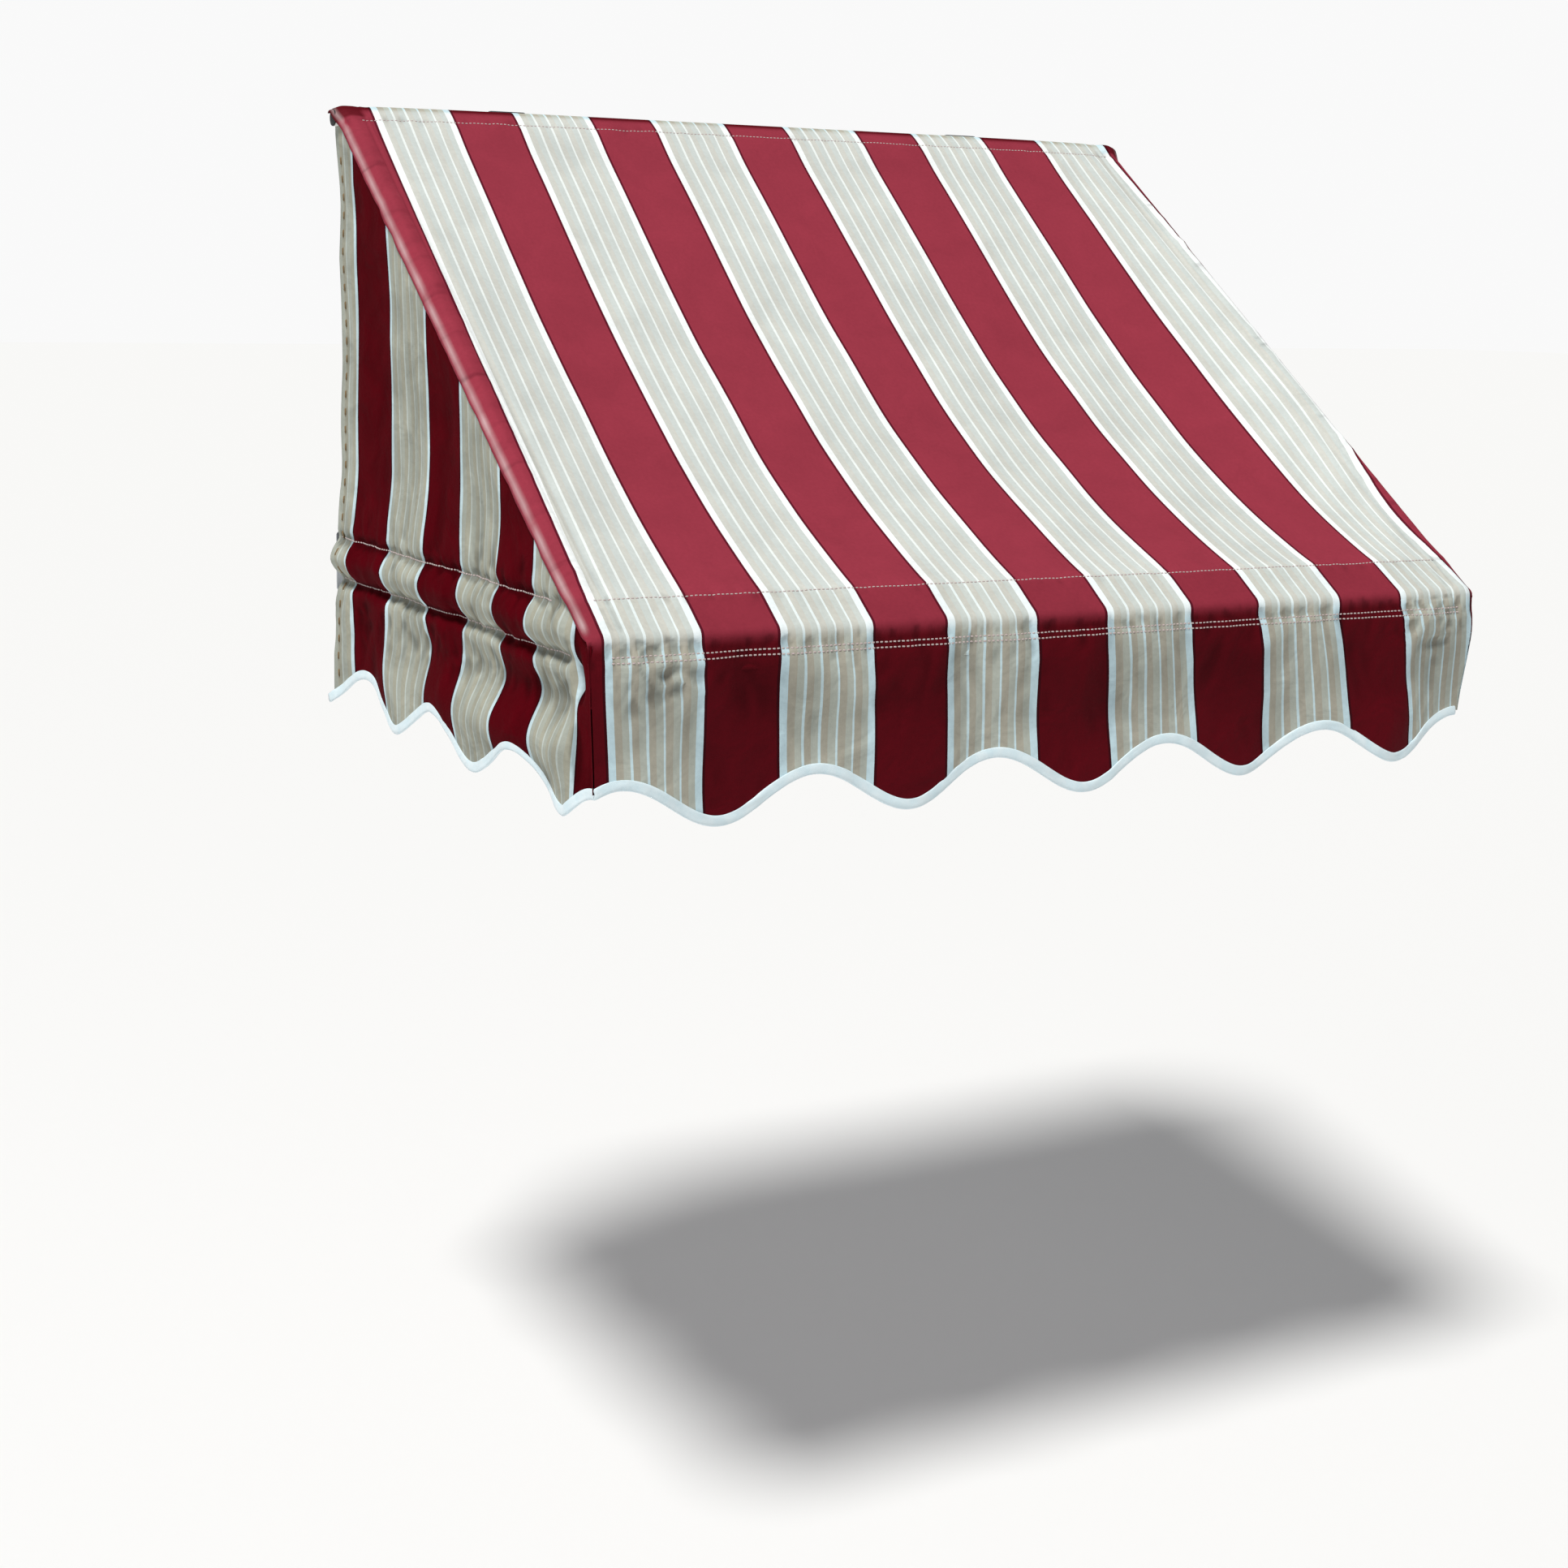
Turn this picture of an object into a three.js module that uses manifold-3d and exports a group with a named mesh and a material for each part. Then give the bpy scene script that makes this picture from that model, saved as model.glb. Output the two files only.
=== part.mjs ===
// Fabric window awning on a bolted tube frame, in millimetres.
//
// X runs along the window, +Y goes into the wall and +Z is up. The origin is on the wall face,
// half way along the awning and level with the axis of the header tube. The wall face is y = 0.

import * as THREE from 'three';
import { mergeVertices } from 'three/addons/utils/BufferGeometryUtils.js';
import Module from 'manifold-3d';

const wasm = await Module();
wasm.setup();

// ---- Driving dimensions ----

const AWNING_WIDTH = 1220; // over the outer faces of the two side panels
const PROJECTION = 820; // wall face to the axis of the front tube
const DROP = 578; // axis of the header tube down to the axis of the front tube
const HEADER_STANDOFF = 34; // wall face to the axis of the header tube
const FIT_GAP = 0.3; // between pieces that touch

const TUBE_RADIUS = 11;
const TUBE_WALL = 1.5;
const TUBE_SIDES = 20;
const FRAME_INSET = 16; // outer face of a side panel to the axes of the arm and the rafter
const HEADER_OVERHANG = 7; // header tube past the outer face of a side panel

const CLOTH = 2; // thickness of the cloth with its slack
const SLEEVE_CLOTH = 1.5; // thickness of the inner strips that close the sleeves
const HEADER_WRAP = 15; // inner radius of the cloth round the header tube
const FRONT_WRAP = 13; // inner radius of the cloth round the front tube
const PANEL_WALL_GAP = 8; // wall face to the rear edge of a side panel

const VALANCE_DROP = 178; // axis of the front tube to the mean line of the front's scallops
const SIDE_RISE = 12; // mean line of the sides' scallops above the front's
const SCALLOP_DEPTH = 24; // rise and fall of the scallops about their mean line
const FRONT_SCALLOP = 237; // pitch of the scallops on the front
const FRONT_LOW_X = 15; // one low point on the front, along X
const SIDE_SCALLOP = 259; // pitch of the scallops on the sides
const SIDE_LOWS = { left: 62, right: 130 }; // first low point on each side, back from the front corner
const SCALLOP_STEPS = 10; // straight steps in one scallop
const BINDING_HEIGHT = 12;
const BINDING_THICKNESS = 4;
const BINDING_GAP = 1.5; // top of the binding to the cloth above it

const HEADER_BRACKET_X = 362; // wall brackets of the header, each side of the middle
const HEADER_BRACKET = { width: 58, top: 21, bottom: -66, thickness: 3, corner: 6, saddle: 36 };
const HEADER_HOLES = { x: 20, z: [-22, -54], radius: 3 };
const WEB = { top: -1, thickness: 3, boltFromWall: 12 };
const CLAMP_THICKNESS = 2;
const NOTCH_HALF_WIDTH = 24; // of the gap in the header sleeve at each wall bracket
const SLEEVE_END_X = 575; // the header sleeve stops here, short of the corner tees

const ARM_BRACKET = { outer: 11, inner: 31, halfHeight: 40, thickness: 4, corner: 5 };
const ARM_HOLES = { points: [[20, 28], [20, -28]], radius: 3 };
const ARM_COLLAR = { radius: 11.8, length: 10 };
const ARM_SPIGOT_END = 50; // from the wall face

const SPIGOT_RADIUS = TUBE_RADIUS - TUBE_WALL - FIT_GAP;
const SPIGOT_LENGTH = 30;
const CORNER_BALL = 12.2;
const CORNER_SHOULDER = 37; // corner centre to the ends of the arm and the rafter
const CORNER_SHOULDER_X = 15; // corner centre to the end of the front tube
const TEE_RADIUS = 14.2;
const TEE_WIDTH = 24;
const TEE_SHOULDER = 25; // header axis to the end of the rafter

const SCREW = { shank: 2.1, hole: 2.4, length: 8, head: 4.2, headHeight: 2.6, recess: 1.6, sides: 10 };
const SCREW_BACK = 15; // tube end to the screw through it
const NUT = { radius: 4.6, height: 4 };
const PLUG = { flange: 2, depth: 14 };

// ---- Worked-out places ----

const HALF_WIDTH = AWNING_WIDTH / 2;
const FRAME_X = HALF_WIDTH - FRAME_INSET;
const HEADER = new THREE.Vector3(0, -HEADER_STANDOFF, 0);
const FRONT = new THREE.Vector3(0, -PROJECTION, -DROP);
const UP_SLOPE = HEADER.clone().sub(FRONT).normalize();
const X_AXIS = new THREE.Vector3(1, 0, 0);
const Y_AXIS = new THREE.Vector3(0, 1, 0);
const Z_AXIS = new THREE.Vector3(0, 0, 1);
const ROOF_NORMAL = Math.atan2(UP_SLOPE.y, -UP_SLOPE.z); // angle of the roof's outward normal, from +Y
const FRONT_FACE_Y = -(PROJECTION + FRONT_WRAP); // inner face of the valance
const SCALLOP_MEAN = -(DROP + VALANCE_DROP);
const CORNER_X = HALF_WIDTH - CLOTH / 2; // where the middle of the cloth turns from front to side
const CORNER_Y = FRONT_FACE_Y - CLOTH / 2;
const SIDES = [{ name: 'left', sign: -1 }, { name: 'right', sign: 1 }];

// ---- Finishes ----

const FINISHES = {
  white_tube: { color: 0xe9eae8, roughness: 0.42, metalness: 0.1 },
  zinc_bracket: { color: 0xb9bdc0, roughness: 0.38, metalness: 0.9 },
  cast_fitting: { color: 0xdcdedd, roughness: 0.5, metalness: 0.25 },
  screw_steel: { color: 0xa7abad, roughness: 0.3, metalness: 1 },
  black_plug: { color: 0x1b1c1e, roughness: 0.6, metalness: 0 },
  roof_cloth: { color: 0x9e3c4a, roughness: 0.8, metalness: 0 },
  side_cloth: { color: 0xa9a99b, roughness: 0.85, metalness: 0 },
  binding: { color: 0xc6e3ec, roughness: 0.7, metalness: 0 },
};

// ---- Solids ----

/** A closed three.js geometry as a manifold solid. */
function toSolid(geometry) {
  const bare = geometry.clone();
  bare.deleteAttribute('normal');
  bare.deleteAttribute('uv');
  const merged = mergeVertices(bare, 1e-4);
  return new wasm.Manifold(new wasm.Mesh({
    numProp: 3,
    vertProperties: new Float32Array(merged.attributes.position.array),
    triVerts: new Uint32Array(merged.index.array),
  }));
}

/** A manifold solid as a three.js geometry. */
function toGeometry(solid) {
  const mesh = solid.getMesh();
  const geometry = new THREE.BufferGeometry();
  geometry.setAttribute('position', new THREE.BufferAttribute(mesh.vertProperties, 3));
  geometry.setIndex(new THREE.BufferAttribute(mesh.triVerts, 1));
  geometry.computeVertexNormals();
  return geometry;
}

/** Joins the first list of geometries into one body and cuts the second list out of it. */
function build(joined, cut = []) {
  const whole = joined.map(toSolid).reduce((a, b) => a.add(b));
  return toGeometry(cut.map(toSolid).reduce((a, b) => a.subtract(b), whole));
}

/** A mesh with a name and a material of its own. */
function piece(name, geometry, finish) {
  const mesh = new THREE.Mesh(geometry, new THREE.MeshStandardMaterial(FINISHES[finish]));
  mesh.name = name;
  return mesh;
}

/** A solid round bar from one point to another. */
function rod(from, to, radius, sides = TUBE_SIDES) {
  const along = to.clone().sub(from);
  const geometry = new THREE.CylinderGeometry(radius, radius, along.length(), sides);
  geometry.applyQuaternion(new THREE.Quaternion().setFromUnitVectors(Y_AXIS, along.clone().normalize()));
  return geometry.translate(...from.clone().add(to).multiplyScalar(0.5).toArray());
}

/** A closed outline of (y, z) points, drawn out along X and centred on it. */
function acrossX(shape, width) {
  const geometry = new THREE.ExtrudeGeometry(shape, { depth: width, bevelEnabled: false });
  geometry.translate(0, 0, -width / 2);
  return geometry.applyMatrix4(new THREE.Matrix4().makeBasis(Y_AXIS, Z_AXIS, X_AXIS));
}

/** A closed outline of (x, z) points, drawn out from y = start by depth towards the front. */
function towardsFront(shape, depth, start = 0) {
  const geometry = new THREE.ExtrudeGeometry(shape, { depth, bevelEnabled: false });
  geometry.applyMatrix4(new THREE.Matrix4().makeBasis(X_AXIS, Z_AXIS, Y_AXIS.clone().negate()));
  return geometry.translate(0, start, 0);
}

/** Points on an arc round a centre, from one angle to another, in radians. */
function arc(centreU, centreV, radius, from, to, steps) {
  return Array.from({ length: steps + 1 }, (_, i) => {
    const angle = from + ((to - from) * i) / steps;
    return new THREE.Vector2(centreU + radius * Math.cos(angle), centreV + radius * Math.sin(angle));
  });
}

/** The outline of a band of even thickness about a line of points. */
function band(path, thickness) {
  const offset = (side) => path.map((point, i) => {
    const before = path[Math.max(i - 1, 0)];
    const after = path[Math.min(i + 1, path.length - 1)];
    const into = point.clone().sub(before).normalize();
    const out = after.clone().sub(point).normalize();
    if (i === 0) into.copy(out);
    if (i === path.length - 1) out.copy(into);
    const normal = new THREE.Vector2(-into.y - out.y, into.x + out.x).normalize();
    const miter = 1 / Math.max(normal.dot(new THREE.Vector2(-into.y, into.x)), 0.5);
    return point.clone().addScaledVector(normal, (side * thickness * miter) / 2);
  });
  return new THREE.Shape([...offset(1), ...offset(-1).reverse()]);
}

/** A rectangle with rounded corners and round holes. */
function plateShape(left, right, bottom, top, corner, holes, holeRadius) {
  const shape = new THREE.Shape([
    ...arc(right - corner, top - corner, corner, 0, Math.PI / 2, 4),
    ...arc(left + corner, top - corner, corner, Math.PI / 2, Math.PI, 4),
    ...arc(left + corner, bottom + corner, corner, Math.PI, Math.PI * 1.5, 4),
    ...arc(right - corner, bottom + corner, corner, Math.PI * 1.5, Math.PI * 2, 4),
  ]);
  for (const [x, z] of holes) {
    shape.holes.push(new THREE.Path(arc(x, z, holeRadius, 0, Math.PI * 2, 14).slice(1)));
  }
  return shape;
}

/** A sector of a ring about a tube's axis, as (y, z) points. */
function ringSector(centre, inner, outer, from, to, steps) {
  return new THREE.Shape([
    ...arc(centre.y, centre.z, outer, from, to, steps),
    ...arc(centre.y, centre.z, inner, to, from, steps),
  ]);
}

/** A rectangle given by two opposite corners. */
function rectangle(u0, v0, u1, v1) {
  return new THREE.Shape([[u0, v0], [u1, v0], [u1, v1], [u0, v1]].map((p) => new THREE.Vector2(...p)));
}

// ---- Tubes, screws and nuts ----

/** A round tube from one point to another, with screw holes through one wall.
 *  Each hole is { at, facing }: its distance from the start and the way its screw's head faces. */
function tube(name, from, to, holes) {
  const along = to.clone().sub(from);
  const turn = new THREE.Quaternion().setFromUnitVectors(Z_AXIS, along.clone().normalize());
  const back = turn.clone().invert();
  const ring = new THREE.Shape(arc(0, 0, TUBE_RADIUS, 0, Math.PI * 2, TUBE_SIDES).slice(1));
  ring.holes.push(new THREE.Path(arc(0, 0, TUBE_RADIUS - TUBE_WALL, 0, Math.PI * 2, TUBE_SIDES).slice(1)));
  const pipe = new THREE.ExtrudeGeometry(ring, { depth: along.length(), bevelEnabled: false });
  const drilled = build([pipe], holes.map(({ at, facing }) => {
    const centre = new THREE.Vector3(0, 0, at);
    const out = facing.clone().applyQuaternion(back).multiplyScalar(TUBE_RADIUS * 1.5);
    return rod(centre, centre.clone().add(out), SCREW.hole, SCREW.sides);
  }));
  const mesh = piece(name, drilled, 'white_tube');
  mesh.position.copy(from);
  mesh.quaternion.copy(turn);
  return mesh;
}

/** A pan-head screw. The underside of its head is at the seat and its shank runs against facing. */
function screw(name, seat, facing, length = SCREW.length) {
  const profile = [
    [0, -length], [SCREW.shank, -length], [SCREW.shank, 0], [SCREW.head, 0],
    [SCREW.head, SCREW.headHeight * 0.6], [SCREW.head - 0.9, SCREW.headHeight],
    [SCREW.recess, SCREW.headHeight], [SCREW.recess, SCREW.headHeight * 0.5], [0, SCREW.headHeight * 0.5],
  ].map((p) => new THREE.Vector2(...p));
  const mesh = piece(name, new THREE.LatheGeometry(profile, SCREW.sides), 'screw_steel');
  mesh.position.copy(seat);
  mesh.quaternion.setFromUnitVectors(Y_AXIS, facing.clone().normalize());
  return mesh;
}

/** A screw on a tube or fitting: its head stands just off a surface at the given radius. */
function tubeScrew(name, axisPoint, facing, radius) {
  return screw(name, axisPoint.clone().addScaledVector(facing, radius + FIT_GAP), facing);
}

/** The blind hole that such a screw enters. */
function screwHole(axisPoint, facing) {
  return rod(axisPoint.clone().addScaledVector(facing, 2.5),
    axisPoint.clone().addScaledVector(facing, TEE_RADIUS + 2), SCREW.hole, SCREW.sides);
}

/** A hexagon nut standing on its lower face, with a plain bore. */
function nut(name, base) {
  const shape = new THREE.Shape(arc(0, 0, NUT.radius, 0, Math.PI * 2, 6).slice(1));
  shape.holes.push(new THREE.Path(arc(0, 0, SCREW.hole, 0, Math.PI * 2, SCREW.sides).slice(1)));
  const mesh = piece(name, new THREE.ExtrudeGeometry(shape, { depth: NUT.height, bevelEnabled: false }),
    'screw_steel');
  mesh.position.copy(base);
  return mesh;
}

// ---- Header: tube, end plugs, wall brackets and clamps ----

/** The way the set screw of a header tee faces: back and down. */
const TEE_SCREW_FACING = new THREE.Vector3(0, 0.5, -Math.sqrt(0.75));

/** The header tube with its two black end plugs. */
function header() {
  const group = new THREE.Group();
  const half = HALF_WIDTH + HEADER_OVERHANG - PLUG.flange;
  const start = HEADER.clone().setX(-half);
  const holes = SIDES.map(({ sign }) => ({ at: half + sign * FRAME_X, facing: TEE_SCREW_FACING }));
  group.add(tube('header_tube', start, HEADER.clone().setX(half), holes));
  for (const { name, sign } of SIDES) {
    const at = (x) => HEADER.clone().setX(sign * x);
    group.add(piece(`header_end_plug_${name}`, build([
      rod(at(half + FIT_GAP), at(half + PLUG.flange), TUBE_RADIUS),
      rod(at(half - PLUG.depth), at(half + FIT_GAP + 0.5), SPIGOT_RADIUS),
    ]), 'black_plug'));
  }
  return group;
}

/** One wall bracket of the header: a plate, a web and a saddle under the tube, with its clamp. */
function headerBracket({ name, sign }) {
  const group = new THREE.Group();
  group.position.x = sign * HEADER_BRACKET_X;
  const { width, top, bottom, thickness, corner, saddle } = HEADER_BRACKET;
  const holes = HEADER_HOLES.z.flatMap((z) => [[-HEADER_HOLES.x, z], [HEADER_HOLES.x, z]]);
  const plate = plateShape(-width / 2, width / 2, bottom, top, corner, holes, HEADER_HOLES.radius);
  const inner = TUBE_RADIUS + FIT_GAP;
  const degree = Math.PI / 180;
  const saddleArc = ringSector(HEADER, inner, inner + WEB.thickness, -170 * degree, -8 * degree, 12);
  const web = rectangle(HEADER.y + inner + 1, WEB.top - WEB.thickness, -thickness / 2, WEB.top);
  const boltY = -WEB.boltFromWall;
  const bolt = (from, to) => rod(new THREE.Vector3(0, boltY, from), new THREE.Vector3(0, boltY, to),
    SCREW.hole, SCREW.sides);
  group.add(piece(`header_bracket_${name}`, build(
    [towardsFront(plate, thickness), acrossX(saddleArc, saddle), acrossX(web, saddle)],
    [bolt(-10, 5)]), 'zinc_bracket'));

  const clampArc = ringSector(HEADER, inner, inner + CLAMP_THICKNESS, 0, 172 * degree, 12);
  const tabBase = WEB.top + FIT_GAP;
  const tab = rectangle(HEADER.y + inner + 0.5, tabBase, boltY + 6, tabBase + CLAMP_THICKNESS);
  group.add(piece(`header_clamp_${name}`, build(
    [acrossX(clampArc, saddle - 8), acrossX(tab, saddle - 8)], [bolt(-10, 9)]), 'zinc_bracket'));

  const seat = new THREE.Vector3(0, boltY, tabBase + CLAMP_THICKNESS + FIT_GAP);
  const below = WEB.top - WEB.thickness - FIT_GAP - NUT.height;
  group.add(screw(`clamp_screw_${name}`, seat, Z_AXIS, seat.z - below + 1.5));
  group.add(nut(`clamp_nut_${name}`, new THREE.Vector3(0, boltY, below)));
  return group;
}

// ---- One end of the frame: tee, rafter, corner, arm and arm bracket ----

/** A cast tee round the header tube, with a spigot that the rafter slides over. */
function headerTee({ name, sign }) {
  const group = new THREE.Group();
  const centre = HEADER.clone().setX(sign * FRAME_X);
  const along = (distance) => centre.clone().addScaledVector(UP_SLOPE, -distance);
  const across = (half) => [centre.clone().setX(centre.x - half), centre.clone().setX(centre.x + half)];
  const inward = X_AXIS.clone().multiplyScalar(-sign);
  const rafterScrew = along(TEE_SHOULDER + SCREW_BACK);
  group.add(piece(`header_tee_${name}`, build(
    [
      rod(...across(TEE_WIDTH / 2), TEE_RADIUS, 24),
      rod(centre, along(TEE_SHOULDER), TUBE_RADIUS),
      rod(centre, along(TEE_SHOULDER + SPIGOT_LENGTH), SPIGOT_RADIUS),
    ],
    [
      rod(...across(TEE_WIDTH), TUBE_RADIUS + FIT_GAP),
      screwHole(centre, TEE_SCREW_FACING),
      screwHole(rafterScrew, inward),
    ]), 'cast_fitting'));
  group.add(tubeScrew(`tee_set_screw_${name}`, centre, TEE_SCREW_FACING, TEE_RADIUS));
  group.add(tubeScrew(`rafter_upper_screw_${name}`, rafterScrew, inward, TUBE_RADIUS));
  return group;
}

/** A cast three-way corner where the rafter, the arm and the front tube meet. */
function frontCorner({ name, sign }) {
  const group = new THREE.Group();
  const centre = FRONT.clone().setX(sign * FRAME_X);
  const inward = X_AXIS.clone().multiplyScalar(-sign);
  const legs = [
    { way: Y_AXIS, shoulder: CORNER_SHOULDER, facing: inward, screwName: 'arm_front_screw' },
    { way: UP_SLOPE, shoulder: CORNER_SHOULDER, facing: inward, screwName: 'rafter_lower_screw' },
    { way: inward, shoulder: CORNER_SHOULDER_X, facing: Y_AXIS, screwName: 'front_tube_screw' },
  ];
  const joined = [new THREE.IcosahedronGeometry(CORNER_BALL, 2).translate(...centre.toArray())];
  const cut = [];
  for (const { way, shoulder, facing, screwName } of legs) {
    const along = (distance) => centre.clone().addScaledVector(way, distance);
    joined.push(rod(centre, along(shoulder), TUBE_RADIUS));
    joined.push(rod(centre, along(shoulder + SPIGOT_LENGTH), SPIGOT_RADIUS));
    cut.push(screwHole(along(shoulder + SCREW_BACK), facing));
    group.add(tubeScrew(`${screwName}_${name}`, along(shoulder + SCREW_BACK), facing, TUBE_RADIUS));
  }
  group.add(piece(`front_corner_${name}`, build(joined, cut), 'cast_fitting'));
  return group;
}

/** The rafter that runs down the edge of the roof. */
function rafter({ name, sign }) {
  const top = HEADER.clone().setX(sign * FRAME_X).addScaledVector(UP_SLOPE, -TEE_SHOULDER - FIT_GAP);
  const foot = FRONT.clone().setX(sign * FRAME_X).addScaledVector(UP_SLOPE, CORNER_SHOULDER + FIT_GAP);
  const inward = X_AXIS.clone().multiplyScalar(-sign);
  return tube(`rafter_${name}`, top, foot, [
    { at: SCREW_BACK - FIT_GAP, facing: inward },
    { at: top.distanceTo(foot) - SCREW_BACK + FIT_GAP, facing: inward },
  ]);
}

/** The level arm from the wall bracket to the front corner, with that bracket and its screw. */
function sideArm({ name, sign }) {
  const group = new THREE.Group();
  const inward = X_AXIS.clone().multiplyScalar(-sign);
  const on = (y) => new THREE.Vector3(sign * FRAME_X, y, -DROP);
  const rear = -(ARM_COLLAR.length + FIT_GAP);
  const front = -(PROJECTION - CORNER_SHOULDER - FIT_GAP);
  const rearScrew = on(-(ARM_COLLAR.length + SCREW_BACK));
  group.add(tube(`side_arm_${name}`, on(rear), on(front), [
    { at: rear - rearScrew.y, facing: inward },
    { at: rear + PROJECTION - CORNER_SHOULDER - SCREW_BACK, facing: inward },
  ]));

  const { outer, inner, halfHeight, thickness, corner } = ARM_BRACKET;
  const edges = [sign * outer, -sign * inner].sort((a, b) => a - b);
  const holes = ARM_HOLES.points.map(([x, z]) => [-sign * x, z]);
  const plate = plateShape(...edges, -halfHeight, halfHeight, corner, holes, ARM_HOLES.radius);
  group.add(piece(`arm_bracket_${name}`, build(
    [
      towardsFront(plate, thickness).translate(sign * FRAME_X, 0, -DROP),
      rod(on(-thickness / 2), on(-ARM_COLLAR.length), ARM_COLLAR.radius),
      rod(on(-thickness / 2), on(-ARM_SPIGOT_END), SPIGOT_RADIUS),
    ],
    [screwHole(rearScrew, inward)]), 'zinc_bracket'));
  group.add(tubeScrew(`arm_rear_screw_${name}`, rearScrew, inward, TUBE_RADIUS));
  return group;
}

/** The front tube between the two corners. */
function frontTube() {
  const half = FRAME_X - CORNER_SHOULDER_X - FIT_GAP;
  const inset = SCREW_BACK - FIT_GAP;
  return tube('front_tube', FRONT.clone().setX(-half), FRONT.clone().setX(half), [
    { at: inset, facing: Y_AXIS },
    { at: 2 * half - inset, facing: Y_AXIS },
  ]);
}

// ---- Cloth ----

/** Height of the scalloped edge on the front, at a place along X. */
function frontEdge(x) {
  return SCALLOP_MEAN - SCALLOP_DEPTH * Math.cos((2 * Math.PI * (x - FRONT_LOW_X)) / FRONT_SCALLOP);
}

/** Height of the scalloped edge on a side, at a place along Y.
 *  Near the corner it is drawn to the height at which the front's edge arrives. */
function sideEdge(y, { name, sign }) {
  const back = y - CORNER_Y;
  const low = SIDE_LOWS[name];
  const wave = -SCALLOP_DEPTH * Math.cos((2 * Math.PI * (back - low)) / SIDE_SCALLOP);
  const blend = THREE.MathUtils.smoothstep(back, 0, low);
  return THREE.MathUtils.lerp(frontEdge(sign * CORNER_X), SCALLOP_MEAN + SIDE_RISE + wave, blend);
}

/** Points along a scalloped edge between two places, in even steps. */
function edgePoints(from, to, pitch, height) {
  const steps = Math.ceil((Math.abs(to - from) / pitch) * SCALLOP_STEPS);
  return Array.from({ length: steps + 1 }, (_, i) => {
    const u = from + ((to - from) * i) / steps;
    return new THREE.Vector2(u, height(u));
  });
}

/** The front's scalloped edge from corner to corner, as (x, z) points. */
function frontEdgePoints() {
  return edgePoints(-CORNER_X, CORNER_X, FRONT_SCALLOP, frontEdge);
}

/** A side's scalloped edge from the front corner back to the wall edge, as (y, z) points. */
function sideEdgePoints(side) {
  return edgePoints(CORNER_Y, -PANEL_WALL_GAP, SIDE_SCALLOP, (y) => sideEdge(y, side));
}

/** The same line with its first step cut short at a later start. */
function startingAt(points, start) {
  const [first, second, ...rest] = points;
  const share = (start - first.x) / (second.x - first.x);
  return [first.clone().lerp(second, share), second, ...rest];
}

/** Moves a list of points up by a height. */
function raised(points, height) {
  return points.map((p) => new THREE.Vector2(p.x, p.y + height));
}

/** Roof and front valance, one cloth: over the header, down the slope, over the front tube and down
 *  to the scallops. The header sleeve is open at the wall brackets and short of the tees. */
function canopyCloth() {
  const degree = Math.PI / 180;
  const path = [
    ...arc(HEADER.y, HEADER.z, HEADER_WRAP + CLOTH / 2, 35 * degree, ROOF_NORMAL, 7),
    ...arc(FRONT.y, FRONT.z, FRONT_WRAP + CLOTH / 2, ROOF_NORMAL, Math.PI, 5),
    new THREE.Vector2(FRONT_FACE_Y - CLOTH / 2, SCALLOP_MEAN - SCALLOP_DEPTH * 2),
  ];
  const sheet = acrossX(band(path, CLOTH), AWNING_WIDTH);
  const ring = new THREE.Shape(arc(HEADER.y, HEADER.z, HEADER_WRAP + CLOTH, 0, Math.PI * 2, 24).slice(1));
  ring.holes.push(new THREE.Path(arc(HEADER.y, HEADER.z, HEADER_WRAP, 0, Math.PI * 2, 24).slice(1)));
  const notch = HEADER_BRACKET_X - NOTCH_HALF_WIDTH;
  const endSleeve = SLEEVE_END_X - HEADER_BRACKET_X - NOTCH_HALF_WIDTH;
  const sleeves = [
    acrossX(ring, 2 * notch),
    ...SIDES.map(({ sign }) => acrossX(ring, endSleeve).translate(sign * (SLEEVE_END_X - endSleeve / 2), 0, 0)),
  ];
  const edge = raised(frontEdgePoints(), BINDING_HEIGHT + BINDING_GAP);
  const waste = new THREE.Shape([
    new THREE.Vector2(-HALF_WIDTH - 1, edge[0].y),
    ...edge,
    new THREE.Vector2(HALF_WIDTH + 1, edge[edge.length - 1].y),
    new THREE.Vector2(HALF_WIDTH + 1, SCALLOP_MEAN - SCALLOP_DEPTH * 3),
    new THREE.Vector2(-HALF_WIDTH - 1, SCALLOP_MEAN - SCALLOP_DEPTH * 3),
  ]);
  const depth = FRONT_WRAP * 2;
  return piece('canopy_cloth', build([sheet, ...sleeves],
    [towardsFront(waste, depth, FRONT_FACE_Y + FRONT_WRAP)]), 'roof_cloth');
}

/** One side panel: a flat cloth under the roof's edge, with scallops below the arm. */
function sidePanel(side) {
  const edge = startingAt(sideEdgePoints(side), CORNER_Y + BINDING_THICKNESS / 2 + FIT_GAP);
  const outline = new THREE.Shape([
    ...raised(edge, BINDING_HEIGHT + BINDING_GAP),
    new THREE.Vector2(-PANEL_WALL_GAP, 0),
    ...arc(HEADER.y, HEADER.z, HEADER_WRAP - FIT_GAP, Math.PI / 9, ROOF_NORMAL, 8),
    ...arc(FRONT.y, FRONT.z, FRONT_WRAP + CLOTH / 2 - BINDING_THICKNESS / 2 - FIT_GAP, ROOF_NORMAL, Math.PI, 5),
  ]);
  const clearance = TUBE_RADIUS + 2 * FIT_GAP;
  outline.holes.push(new THREE.Path(arc(HEADER.y, HEADER.z, clearance, 0, Math.PI * 2, 20).slice(1)));
  return piece(`side_panel_${side.name}`,
    acrossX(outline, CLOTH).translate(side.sign * (HALF_WIDTH - CLOTH / 2), 0, 0), 'side_cloth');
}

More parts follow.
